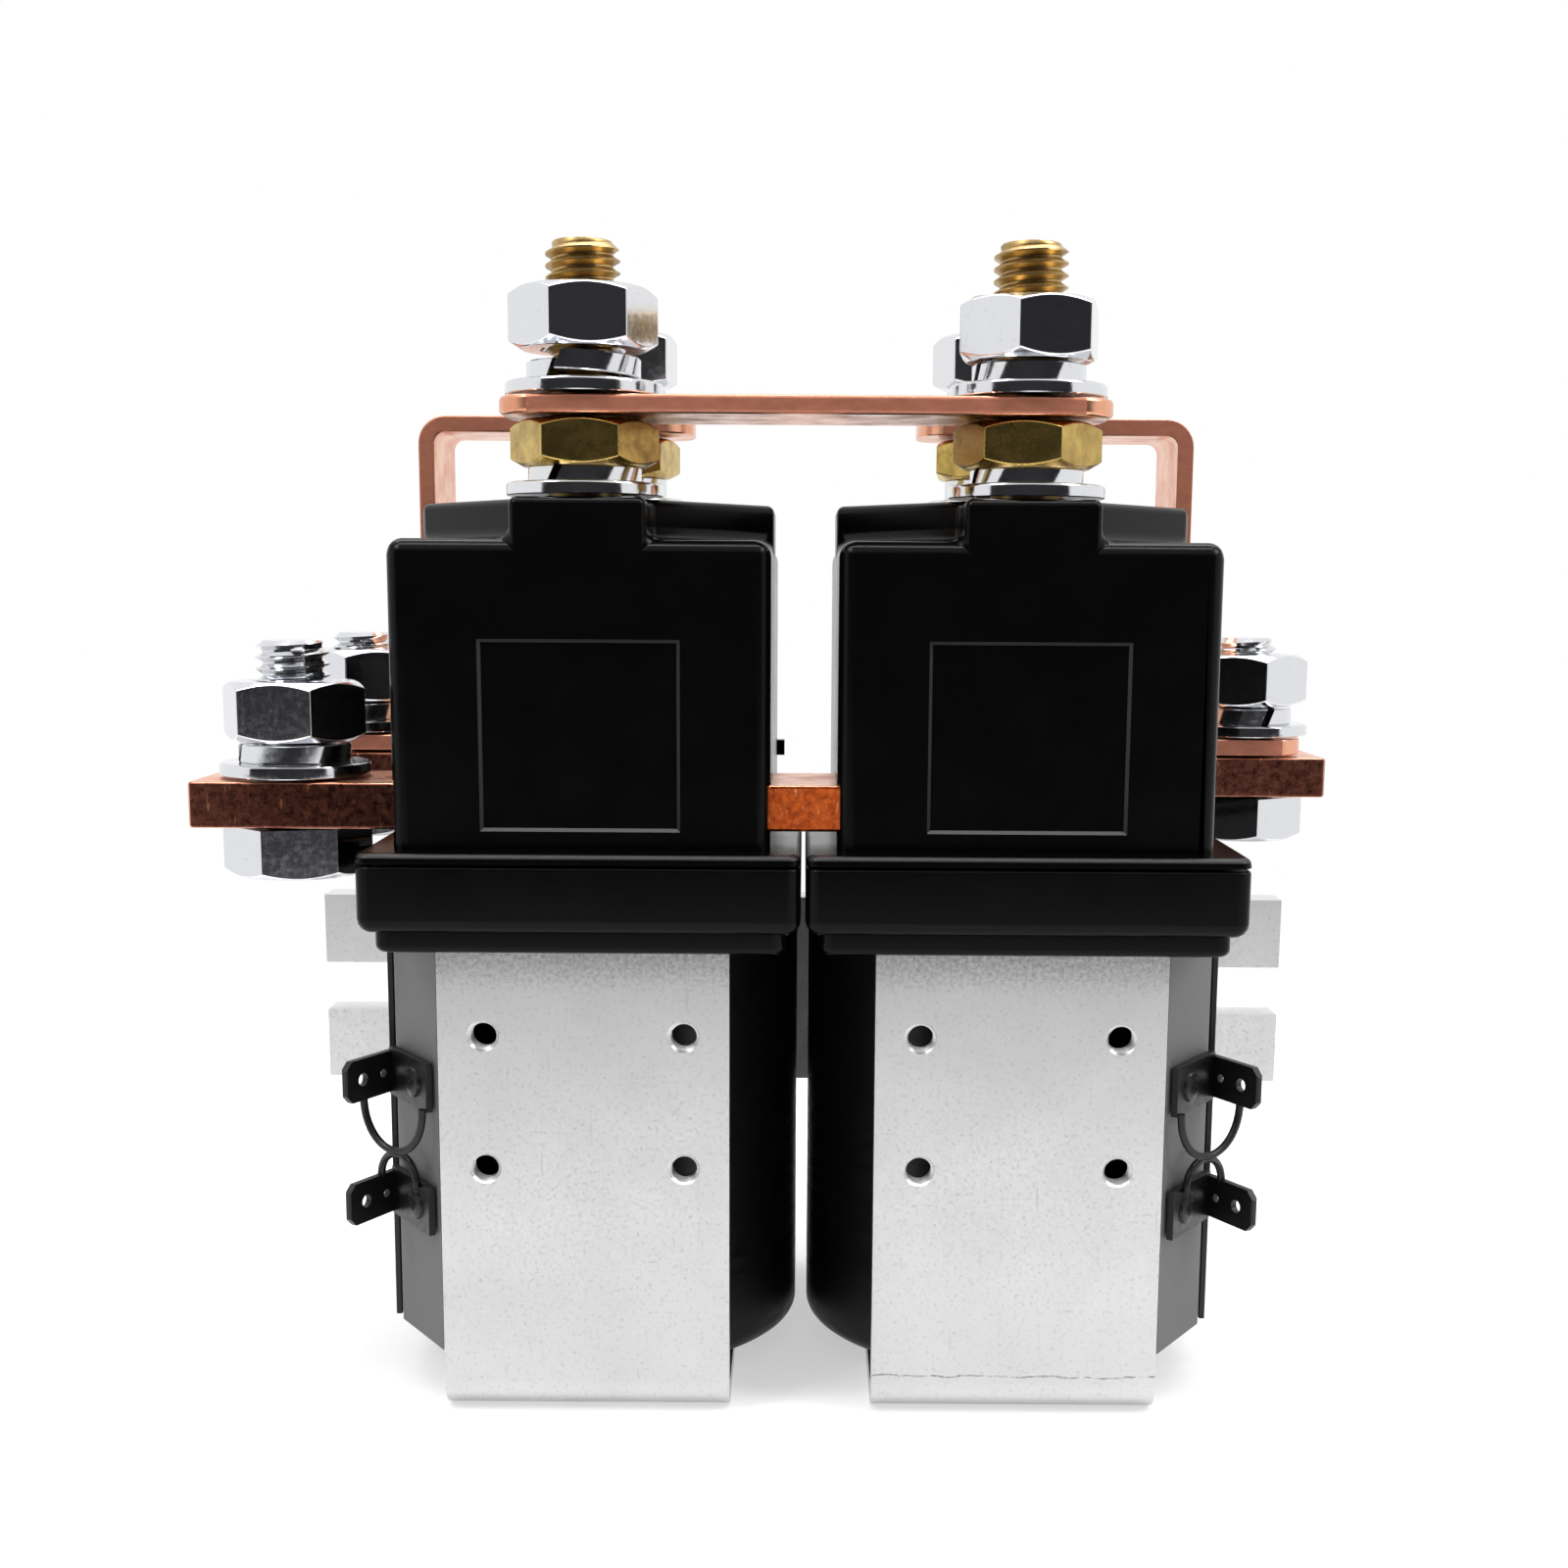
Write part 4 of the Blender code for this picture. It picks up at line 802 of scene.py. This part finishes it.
def make_mouldings(side, sign):
    """The cover with its platform, panel and bar slots, and the base that it stands on."""
    low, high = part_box("cover_" + side)
    x = sign * centre_of("cover_right")[0]
    shoulder = high.z - PLATFORM_HEIGHT
    flange_top = low.z + COVER_FLANGE
    body = cover_body(x, flange_top - 1 * MM, shoulder)
    flange_x, flange_y = (x - FLANGE_HALF_WIDTH, x + FLANGE_HALF_WIDTH), span(low, high, 1)
    flange = rounded_block(flange_x, flange_y, (low.z, flange_top), FLANGE_CORNER, FLANGE_ROUND)
    whole = combined(body, [flange], "UNION")
    if side == "left":
        wall = x + COVER_WIDTH / 2
        nub = rounded_block(
            (wall - 1 * MM, wall + NUB_REACH), (NUB_Y - NUB_SIZE / 2, NUB_Y + NUB_SIZE / 2),
            (NUB_Z - NUB_SIZE / 2, NUB_Z + NUB_SIZE / 2), NUB_CORNER,
        )
        whole = combined(whole, [nub], "UNION")
    half_x, half_y = COVER_WIDTH / 2 - COVER_WALL, COVER_DEPTH / 2 - COVER_WALL
    roof = shoulder - COVER_WALL
    cuts = [block((x - half_x, x + half_x), (-half_y, half_y), (low.z - 1 * MM, roof))]
    for end_name in ENDS:
        y = centre_of(f"stud_{end_name}_{side}")[1]
        cuts.append(rod(THREAD_R + GAP, (x, y, roof - 1 * MM), (x, y, high.z + 1 * MM)))
    cuts += bar_channels(x)
    panel_low = flange_top + PANEL_BOTTOM
    cuts.append(panel_recess(x, panel_low))
    whole = combined(whole, cuts)
    # Painted highlight: the panel's sloped rim and the flange's front top edge take the pale grey second
    # material
    for face in whole.faces:
        middle = face.calc_center_median()
        sloped = middle.y < -COVER_DEPTH / 2 + PANEL_INSET and 0.5 < -face.normal.y < 0.8
        if sloped and abs(middle.x - x) < PANEL[0] / 2 and panel_low < middle.z < panel_low + PANEL[1]:
            face.material_index = 1
        if middle.z < FLANGE_LINE_Z and min(-face.normal.y, face.normal.z) > 0.3:
            face.material_index = 1
    nodes = ["cover_" + side]
    piece("housing_cover_" + side, whole, "moulding", "black_moulding", nodes, angle=28, second="painted_highlight")

    low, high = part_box("base_" + side)
    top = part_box("cover_" + side)[0].z - GAP
    rounds = (FLANGE_CORNER, BASE_RIM_ROUND, FLANGE_UNDER_ROUND)
    rim = rounded_block(flange_x, span(low, high, 1), (low.z + STEP_HEIGHT, top), *rounds)
    step_x = (flange_x[0] + STEP_INSET, flange_x[1] - STEP_INSET)
    step_y, step_z = span(low, high, 1, STEP_INSET), (low.z, top - STEP_BELOW_TOP)
    step = rounded_block(step_x, step_y, step_z, FLANGE_CORNER, 0.0, STEP_ROUND)
    seats = []
    for ends in ((-half_y + GAP, -SEAT_INNER_Y), (SEAT_INNER_Y, half_y - GAP)):
        seats.append(block((x - half_x + GAP, x + half_x - GAP), ends, (top - 1 * MM, high.z)))
    whole = combined(rim, [step] + seats, "UNION")
    yoke_low, yoke_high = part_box("yoke_" + side)
    pocket_x, pocket_y = (span(yoke_low, yoke_high, axis, -GAP) for axis in (0, 1))
    pocket = block(pocket_x, pocket_y, (0, yoke_high.z + GAP))
    whole = combined(whole, [pocket, rod(PUSH_ROD_HOLE_R, (x, 0, low.z), (x, 0, high.z + 1 * MM))])
    piece("base_moulding_" + side, whole, "moulding", "black_moulding", ["base_" + side], angle=28)


def make_yoke(side):
    """The folded steel yoke: bent strip with sheared edges and four tapped holes in each limb."""
    low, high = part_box("yoke_" + side)
    x = (low.x + high.x) / 2
    outer, inner = high.y, high.y - YOKE_THICK
    points = [(-outer, high.z), (-outer, 0), (outer, 0), (outer, high.z)]
    points += [(inner, high.z), (inner, YOKE_THICK), (-inner, YOKE_THICK), (-inner, high.z)]
    bend = YOKE_BEND - YOKE_THICK
    outline = rounded(points, [0, YOKE_BEND, YOKE_BEND, 0, 0, bend, bend, 0])
    turn = Matrix.Rotation(pi / 2, 4, "Z") @ Matrix.Rotation(pi / 2, 4, "X")
    strip = slab(outline, high.x - low.x, Matrix.Translation((low.x, 0, 0)) @ turn)
    taps = []
    for across, z in YOKE_HOLES:
        for end in (-1, 1):
            tap = thread(YOKE_HOLE_R + 0.2 * MM, YOKE_TAP_PITCH, -1 * MM, YOKE_THICK + 1 * MM, steps=24)
            facing = Matrix.Rotation(-end * pi / 2, 4, "X")
            tap.transform(Matrix.Translation((x + across * MM, end * inner, z * MM)) @ facing)
            mouth = bmesh.new()
            place = Matrix.Translation((x + across * MM, end * (outer + 0.2 * MM), z * MM)) @ facing
            bmesh.ops.create_cone(
                mouth, cap_ends=True, segments=32, radius1=YOKE_HOLE_R - 0.3 * MM,
                radius2=YOKE_HOLE_R + 0.9 * MM, depth=1.2 * MM, matrix=place,
            )
            taps += [tap, mouth]
    strip = combined(strip, taps)
    piece("coil_yoke_" + side, strip, "sheet", "zinc_plated_sheet", ["yoke_" + side], angle=40)


def make_coil(side):
    low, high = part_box("coil_" + side)
    x, radius = (low.x + high.x) / 2, (high.y - low.y) / 2
    bore, edge = COIL_BORE_R, COIL_ROUND
    arc = [(radius - edge + edge * sin(pi / 2 * i / 6), edge * cos(pi / 2 * i / 6)) for i in range(7)]
    profile = [(bore, high.z)] + [(r, high.z - edge + h) for r, h in arc]
    profile += [(r, low.z + edge - h) for r, h in reversed(arc)] + [(bore, low.z)]
    coil = moved(turned(profile, 128), (x, 0, 0))
    piece("wound_coil_" + side, coil, "tape", "coil_tape", ["coil_" + side])


def make_stud(side, end_name):
    """A stud with its seat on the platform, and the washers and nut that clamp the copper on it."""
    tag = f"{end_name}_{side}"
    low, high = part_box("stud_" + tag)
    spot = centre_of("stud_" + tag)
    seat_low, seat_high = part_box("stud_seat_" + tag)
    washers_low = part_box("top_washers_" + tag)[0]
    nut_low, nut_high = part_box("top_nut_" + tag)
    body_top = seat_high.z - 1 * MM
    head_top = low.z + STUD_HEAD_TOP
    shank = THREAD_R - 0.1 * MM
    profile = [(0, body_top), (shank, body_top), (shank, head_top), (STUD_HEAD_R, head_top)]
    profile += [(STUD_HEAD_R, head_top - STUD_HEAD_THICK), (STUD_CONTACT_R, head_top - STUD_HEAD_THICK)]
    profile += [(STUD_CONTACT_R, low.z), (0, low.z)]
    screw = thread(THREAD_R, THREAD_PITCH, body_top - 0.5 * MM, high.z, chamfer=0.9 * MM)
    whole = moved(combined(turned(profile, 48), [screw], "UNION"), (*spot, 0))
    piece("brass_stud_" + tag, whole, "brass_stud", "brass", ["stud_" + tag], angle=50)

    nut_turn, seat_turn, slit = STUD_NUT_TURNS[tag]
    fastener("seat_washer_" + tag, flat_washer(WASHER_R, WASHER_THICK, seat_low.z), spot)
    split = spring_washer(SEAT_SPRING_THICK[end_name], seat_low.z + WASHER_THICK, 0.0, slit)
    fastener("seat_spring_washer_" + tag, split, spot)
    nut = hexagon_blank(HEX_FLATS, seat_high.z - BRASS_NUT_HEIGHT, seat_high.z, NUT_BORE, turn=seat_turn)
    nut = moved(nut, (*spot, 0))
    piece("seat_nut_" + tag, nut, "brass_nut", "brass", ["stud_seat_" + tag], bevel=0.12 * MM)

    flat = flat_washer(WASHER_R, WASHER_THICK, washers_low.z)
    fastener("clamp_washer_" + tag, flat, spot, ["top_washers_" + tag])
    lift = SLACK_WASHER_LIFT if tag == "front_left" else 0.0
    split = spring_washer(SPRING_WASHER_THICK, washers_low.z + WASHER_THICK, lift, slit)
    fastener("clamp_spring_washer_" + tag, split, spot)
    nut = hexagon_blank(HEX_FLATS, nut_low.z, nut_high.z, NUT_BORE, turn=nut_turn)
    fastener("clamp_nut_" + tag, nut, spot, ["top_nut_" + tag], bevel=0.15 * MM)


# How far the top nut, the brass nut and the spring washer's slit are turned on each stud
STUD_NUT_TURNS = {
    "front_left": (radians(10), radians(2), radians(-115)),
    "front_right": (radians(17), radians(-10), radians(-160)),
    "rear_left": (radians(24), radians(16), radians(40)),
    "rear_right": (radians(-14), radians(22), radians(100)),
}
# How far the nut, the bolt head and the spring washer's slit are turned on each terminal
TERMINAL_TURNS = {
    "front": (radians(-4), radians(15), radians(-150)),
    "rear_left": (radians(25), radians(8), radians(60)),
    "rear_right": (radians(-22), radians(-25), radians(-70)),
}


def make_terminal(tag):
    """A terminal bolt with its head under the bar, and its washers and nut above."""
    low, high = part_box("terminal_bolt_" + tag)
    spot = centre_of("terminal_bolt_" + tag)
    washers_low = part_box("terminal_washers_" + tag)[0]
    nut_low, nut_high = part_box("terminal_nut_" + tag)
    nut_turn, head_turn, slit = TERMINAL_TURNS[tag]
    head_top = low.z + BOLT_HEAD_HEIGHT
    head = hexagon_blank(HEX_FLATS, low.z, head_top, 0, chamfer_high=False, turn=head_turn)
    shank = thread(THREAD_R, THREAD_PITCH, head_top - 0.5 * MM, high.z, chamfer=0.8 * MM)
    whole = combined(head, [shank], "UNION")
    fastener("hexagon_bolt_" + tag, whole, spot, ["terminal_bolt_" + tag], angle=40)
    flat = flat_washer(TERMINAL_WASHER_R, WASHER_THICK, washers_low.z)
    fastener("lug_washer_" + tag, flat, spot, ["terminal_washers_" + tag])
    split = spring_washer(SPRING_WASHER_THICK, washers_low.z + WASHER_THICK, 0.0, slit)
    fastener("lug_spring_washer_" + tag, split, spot)
    nut = hexagon_blank(HEX_FLATS, nut_low.z, nut_high.z, NUT_BORE, turn=nut_turn)
    fastener("lug_nut_" + tag, nut, spot, ["terminal_nut_" + tag], bevel=0.15 * MM)


def cut_faces_dark(shape, ways):
    """The second material on the faces that look along one of the ways, such as sheared edges."""
    for face in shape.faces:
        if any(abs(face.normal.dot(Vector(way))) > 0.95 for way in ways):
            face.material_index = 1
    return shape


def flat_bar(node, corner, steps, bolts):
    """A bar cut to a node's box, its corners rounded in plan, and drilled for each bolt."""
    low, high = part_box(node)
    corners = [(low.x, low.y), (high.x, low.y), (high.x, high.y), (low.x, high.y)]
    bar = slab(rounded(corners, corner, steps), high.z - low.z, Matrix.Translation((0, 0, low.z)))
    return combined(bar, [bolt_hole(bolt, low.z, high.z) for bolt in bolts])


def make_bars():
    link = flat_bar("link_bar", COPPER_CORNER, 10, ["stud_front_left", "stud_front_right"])
    look = {"look": "copper", "slot": "copper"}
    link = cut_faces_dark(link, [(0, 1, 0)])
    piece("copper_link_bar", link, nodes=["link_bar"], bevel=0.5 * MM, second="copper_sheared", **look)
    for tag in TERMINAL_TURNS:
        node = "lower_bar_" + tag
        bar = flat_bar(node, BAR_CORNER, 3, ["terminal_bolt_" + tag])
        bar = cut_faces_dark(bar, [(0, 1, 0), (1, 0, 0)])
        piece("copper_" + node, bar, nodes=[node], bevel=0.45 * MM, second="copper_cut", **look)


def make_strap(side, sign):
    """The bent strap from a rear stud down the outer side to the rear lower bar."""
    low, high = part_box("strap_" + side)
    inner = min(abs(low.x), abs(high.x))
    reach = max(abs(low.x), abs(high.x))
    leg = STRAP_LEG_X - STRAP_THICK
    top, foot = high.z, low.z
    under, over = top - STRAP_THICK, foot + STRAP_THICK
    points = [(inner, under), (inner, top), (STRAP_LEG_X, top), (STRAP_LEG_X, over)]
    points += [(reach, over), (reach, foot), (leg, foot), (leg, under)]
    bend = STRAP_BEND - STRAP_THICK
    outline = rounded(points, [0, 0, STRAP_BEND, STRAP_FOOT_EDGE, 0, 0, STRAP_FOOT_BEND, bend], 8)
    outline = [(sign * x, z) for x, z in outline]
    place = Matrix.Translation((0, high.y, 0)) @ Matrix.Rotation(pi / 2, 4, "X")
    strap = slab(outline, high.y - low.y, place)
    for end_x in (inner, reach):
        ends = [e for e in strap.edges if all(abs(abs(v.co.x) - end_x) < 1e-5 for v in e.verts)]
        bevel(strap, [e for e in ends if upright(e)], COPPER_CORNER, 8)
    holes = [bolt_hole("stud_rear_" + side, under, top)]
    holes.append(bolt_hole("terminal_bolt_rear_" + side, foot, over))
    strap = cut_faces_dark(combined(strap, holes), [(0, 1, 0)])
    nodes = ["strap_" + side]
    piece("copper_strap_" + side, strap, "copper", "copper", nodes, bevel=0.3 * MM, second="copper_sheared")


def board_line(side, sign):
    """The board's slanted face: its inner end, its outer corner and the ways along and off it."""
    low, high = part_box("terminal_board_" + side)
    edge, outer = (high.x, low.x) if sign < 0 else (low.x, high.x)
    inner = Vector((edge, low.y))
    corner = Vector((outer, low.y + BOARD_SLANT_Y))
    along = (corner - inner).normalized()
    off = Vector((along.y, -along.x)) * sign
    return inner, corner, along, off


def make_board(side, sign):
    inner, corner, along, off = board_line(side, sign)
    low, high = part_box("terminal_board_" + side)
    back = Vector((corner.x, high.y))
    inside = corner + Vector((-sign * BOARD_THICK, BOARD_THICK * 0.3))
    behind = inner + Vector((0, BOARD_THICK / abs(along.x)))
    points = [inner, corner, back, back - Vector((sign * BOARD_THICK, 0)), inside, behind]
    radii = [0, BOARD_ROUND, 0, 0, BOARD_ROUND - BOARD_THICK, 0]
    if sign < 0:
        points, radii = points[::-1], radii[::-1]
    board = slab(rounded(points, radii), high.z - low.z, Matrix.Translation((0, 0, low.z)))
    spot = inner + along * RIVET_REACH
    near, far = spot - off * 2 * MM, spot + off * 2 * MM
    holes = [rod(RIVET_HOLE_R, (*near, z), (*far, z), 24) for _, z in TAB_Z]
    nodes = ["terminal_board_" + side]
    piece("fibre_board_" + side, combined(board, holes), "board", "grey_board", nodes, bevel=0.1 * MM)
    low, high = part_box("side_insulator_" + side)
    sheet = block(*(span(low, high, axis) for axis in range(3)))
    nodes = ["side_insulator_" + side]
    piece("fibre_sheet_" + side, sheet, "black", "black_sheet", nodes, bevel=0.12 * MM)


# A rolled rivet through base and board, as radius and height from the board's face
RIVET = in_mm((0, -1.6), (1.1, -1.6), (1.1, 0.8), (1.7, 0.8), (1.6, 1.1))
RIVET += in_mm((1.1, 1.3), (0.5, 1.25), (0.35, 0.8), (0, 0.8))


def make_tab(side, sign, level, z):
    """A push-on tab: riveted base, folded blade with its two holes, and the lead soldered to it."""
    inner, corner, along, off = board_line(side, sign)
    inner, corner = inner + off * GAP, corner + off * GAP
    start, root = inner + along * 0.8 * MM, corner - along * 0.6 * MM
    half = TAB_BASE_WIDTH / 2
    base = [start, root, root + off * TAB_THICK, start + off * TAB_THICK]
    shape = slab(base, 2 * half, Matrix.Translation((0, 0, z - half)))
    way = Vector((sign * sin(TAB_TURN), -cos(TAB_TURN)))
    across = Vector((way.y, -way.x))
    fold = root + off * TAB_THICK / 2
    wide, tip, cut = TAB_WIDTH / 2, TAB_LENGTH, TAB_CHAMFER
    points = [(-0.3 * MM, -wide), (tip - cut, -wide), (tip, cut - wide)]
    points += [(tip, wide - cut), (tip - cut, wide), (-0.3 * MM, wide)]
    middle = fold - across * TAB_THICK / 2
    frame_of = Matrix(
        ((way.x, 0, across.x, middle.x), (way.y, 0, across.y, middle.y), (0, 1, 0, z), (0, 0, 0, 1))
    )
    blade = slab(points, TAB_THICK, frame_of)
    tip_edges = [e for e in blade.edges if abs(e.calc_length() - (TAB_WIDTH - 2 * cut)) < 1e-6]
    bevel(blade, tip_edges, 0.2 * MM, 1)
    holes = []
    for reach, radius in TAB_HOLES:
        spot = fold + way * reach
        holes.append(rod(radius, (*(spot - across * 1 * MM), z), (*(spot + across * 1 * MM), z), 24))
    shape = combined(combined(shape, [blade], "UNION"), holes)
    name = f"{level}_{side}"
    piece("coil_tab_blade_" + name, shape, "black", "black_sheet", ["coil_tab_" + name], bevel=0.08 * MM)
    spot = inner + along * RIVET_REACH
    rivet = turned(RIVET, 32)
    rivet.transform(Matrix.Translation((*spot, z)) @ facing_along(Vector((*off, 0))))
    piece("tab_rivet_" + name, rivet, "black", "black_sheet")
    blade_reach, board_reach, sink = LEAD_LOOPS[level]
    down = 1 if sink > 0 else -1
    begin = Vector((*(fold + way * blade_reach), z + down * (wide - LEAD_R)))
    end = Vector((*(inner + along * board_reach + off * (TAB_THICK + LEAD_R)), z + down * (half - LEAD_R)))
    curve = bpy.data.curves.new("lead", "CURVE")
    curve.dimensions = "3D"
    curve.bevel_depth = LEAD_R
    curve.bevel_resolution = 3
    curve.use_fill_caps = True
    line = curve.splines.new("POLY")
    line.points.add(LEAD_STEPS)
    for i, point in enumerate(line.points):
        swing = pi * i / LEAD_STEPS
        spot = begin.lerp(end, (1 - cos(swing)) / 2)
        point.co = (spot.x, spot.y, spot.z + sink * sin(swing) ** 0.9, 1)
    lead = in_scene("coil_lead_" + name, curve)
    lead.data.materials.append(LOOKS["black"])
    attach(lead, ROOT)


# A countersunk socket screw and the hole that it sits in, as radius and height from the plate's face
SCREW = in_mm((0, -0.1), (2.6, -0.1), (2.7, -0.25), (1.45, -1.55), (1.35, -7.4), (0, -7.4))
SCREW_SINK = in_mm((0, 0.5), (3.2, 0.5), (2.9, 0), (1.6, -1.5), (1.6, -6), (0, -6))


def make_bracket():
    """The slotted flat bar across the back, with eight countersunk socket screws into the yokes."""
    low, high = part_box("bracket")
    front = high.y - BRACKET_THICK
    middle = (low.z + high.z) / 2
    plate = block(span(low, high, 0), (front, high.y), span(low, high, 2))
    cuts, screws = [], []
    radius, end = SLOT_WIDTH / 2, high.x - SLOT_DEPTH
    for sign in (-1, 1):
        outline = [(high.x + 1 * MM, radius), (high.x + 1 * MM, -radius)]
        for i in range(17):
            angle = pi * i / 16
            outline.append((end + radius - radius * sin(angle), -radius * cos(angle)))
        outline = [(sign * px, pz + middle) for px, pz in outline]
        place = Matrix.Translation((0, high.y + 1 * MM, 0)) @ Matrix.Rotation(pi / 2, 4, "X")
        cuts.append(slab(outline, 7 * MM, place))
    for side, _ in SIDES:
        x = centre_of("yoke_" + side)[0]
        for across, z in YOKE_HOLES:
            spot = (x + across * MM, high.y, z * MM)
            facing = Matrix.Translation(spot) @ Matrix.Rotation(-pi / 2, 4, "X")
            sink = turned(SCREW_SINK, 40)
            sink.transform(facing)
            cuts.append(sink)
            head = turned(SCREW, 40)
            socket = bmesh.new()
            bmesh.ops.create_cone(
                socket, cap_ends=True, segments=6, radius1=1.15 * MM, radius2=1.15 * MM, depth=3 * MM
            )
            head = combined(head, [socket])
            head.transform(facing)
            screws.append((f"bracket_screw_{side}_{len(screws) % 4 + 1}", head))
    plate = combined(plate, cuts)
    piece("mounting_bracket", plate, "bracket", "bracket_steel", ["bracket"], bevel=0.35 * MM)
    for name, head in screws:
        piece(name, head, "zinc", "zinc_fasteners")


def dress_hidden():
    """Materials for the nodes that stay: the moving pieces and the iron inside."""
    looks = {"magnet_plate_": "sheet", "contact_bridge_": "copper"}
    for side, _ in SIDES:
        for node in ("plunger_", "fixed_core_", "return_spring_", "contact_spring_"):
            looks[node] = "iron"
        for node, look in looks.items():
            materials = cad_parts[node + side].data.materials
            materials.clear()
            materials.append(LOOKS[look])


def stage_piece(name, shape, made):
    obj = in_scene(name, mesh_of(shape))
    obj.data.materials.append(made)
    return obj


def seen_directly(tree):
    """1 where the camera, a reflection or a refraction looks, 0 for the light that reaches the object."""
    path = tree.nodes.new("ShaderNodeLightPath")
    links = {0: path.outputs["Is Camera Ray"], 1: path.outputs["Is Glossy Ray"]}
    first = add_node(tree, "Math", {"operation": "MAXIMUM"}, links).outputs[0]
    links = {0: first, 1: path.outputs["Is Transmission Ray"]}
    return add_node(tree, "Math", {"operation": "MAXIMUM"}, links).outputs[0]


def make_floor():
    """A pale floor that keeps the soft shadow, and turns to the white backdrop away from the object."""
    made, shader, place = new_material("pale_studio_floor", "fafafa", 0.9, Specular_IOR_Level=0.0)
    tree = made.node_tree
    glow = add_node(tree, "Emission", {"Strength": 1.0})
    away = add_node(tree, "VectorMath", {"operation": "LENGTH"}, {0: place}).outputs["Value"]
    fade = {"From Min": 0.11, "From Max": 0.34, "To Min": 0.5, "To Max": 1.0}
    whiter = add_node(tree, "MapRange", fade, {"Value": away}).outputs["Result"]
    links = {0: seen_directly(tree), 1: whiter}
    share = add_node(tree, "Math", {"operation": "MULTIPLY"}, links).outputs[0]
    mix = add_node(tree, "MixShader", links={0: share, 1: shader.outputs[0], 2: glow.outputs[0]})
    tree.links.new(mix.outputs[0], tree.nodes["Material Output"].inputs["Surface"])
    shape = bmesh.new()
    bmesh.ops.create_grid(shape, x_segments=1, y_segments=1, size=3)
    stage_piece("studio_floor", moved(shape, (0, 0, -0.05 * MM)), made)


def make_dark_cards():
    """Dark cards round the lens, seen only in reflections, which put the dark faces on bright metal."""
    made = new_material("black_card", "28282a", 1.0, Specular_IOR_Level=0.0)[0]
    wide, near, far, high = 1.6, -0.56, -0.95, 0.75
    cards = [block((-wide, wide), (far, near), (0.2 * MM, 0.6 * MM))]
    cards.append(block((-wide, wide), (far - 1 * MM, far), (0, high)))
    cards.append(block((-0.15, 0.15), (near, -0.33), (0.2 * MM, 0.6 * MM)))
    for i, shape in enumerate(cards):
        card = stage_piece(f"dark_card_{i + 1}", shape, made)
        card.visible_camera = card.visible_diffuse = False
        card.visible_shadow = card.visible_transmission = False


def make_lights():
    world = bpy.data.worlds.new("studio")
    bpy.context.scene.world = world
    world.use_nodes = True
    tree = world.node_tree
    plain = tree.nodes["Background"]
    plain.inputs["Color"].default_value = linear("ffffff")
    plain.inputs["Strength"].default_value = 0.9
    white = add_node(tree, "Background", {"Color": linear("ffffff"), "Strength": 1.0})
    links = {0: seen_directly(tree), 1: plain.outputs[0], 2: white.outputs[0]}
    mix = add_node(tree, "MixShader", links=links)
    tree.links.new(mix.outputs[0], tree.nodes["World Output"].inputs["Surface"])
    for name, place, size, power in (
        ("key_left", (-0.55, -0.4, 0.75), (0.3, 0.3), 3.0),
        ("fill_right", (0.6, -0.2, 0.6), (0.3, 0.3), 2.5),
        ("top_back", (0.0, 0.35, 0.8), (0.9, 0.2), 4.0),
        ("strip_above", (0.0, -0.16, 0.85), (0.9, 0.09), 4.5),
    ):
        lamp = bpy.data.lights.new(name, "AREA")
        lamp.energy = power
        lamp.shape = "RECTANGLE"
        lamp.size, lamp.size_y = size
        obj = in_scene(name, lamp)
        obj.location = place
        obj.rotation_euler = (LAMP_TARGET - Vector(place)).to_track_quat("-Z", "Y").to_euler()


def make_camera():
    lens = bpy.data.cameras.new("camera")
    lens.sensor_width = 36
    lens.lens = 36 * PHOTO_FOCAL / PHOTO_SIZE
    lens.shift_x = (PHOTO_SIZE / 2 - PHOTO_CENTRE[0]) / PHOTO_SIZE
    lens.shift_y = (PHOTO_CENTRE[1] - PHOTO_SIZE / 2) / PHOTO_SIZE
    lens.clip_start = 0.01
    lens.clip_end = 20
    camera = in_scene("camera", lens)
    aim = Matrix.Rotation(pi / 2 - CAMERA_PITCH, 4, "X") @ Matrix.Rotation(CAMERA_ROLL, 4, "Z")
    camera.matrix_world = Matrix.Translation(CAMERA_PLACE) @ aim
    bpy.context.scene.camera = camera


make_camera()
make_lights()
make_floor()
make_dark_cards()
for side, sign in SIDES:
    make_mouldings(side, sign)
    make_yoke(side)
    make_coil(side)
    for end_name in ENDS:
        make_stud(side, end_name)
    make_strap(side, sign)
    make_board(side, sign)
    for level, z in TAB_Z:
        make_tab(side, sign, level, z)
make_bars()
for tag in TERMINAL_TURNS:
    make_terminal(tag)
make_bracket()
dress_hidden()
bpy.context.scene.view_settings.view_transform = "Standard"
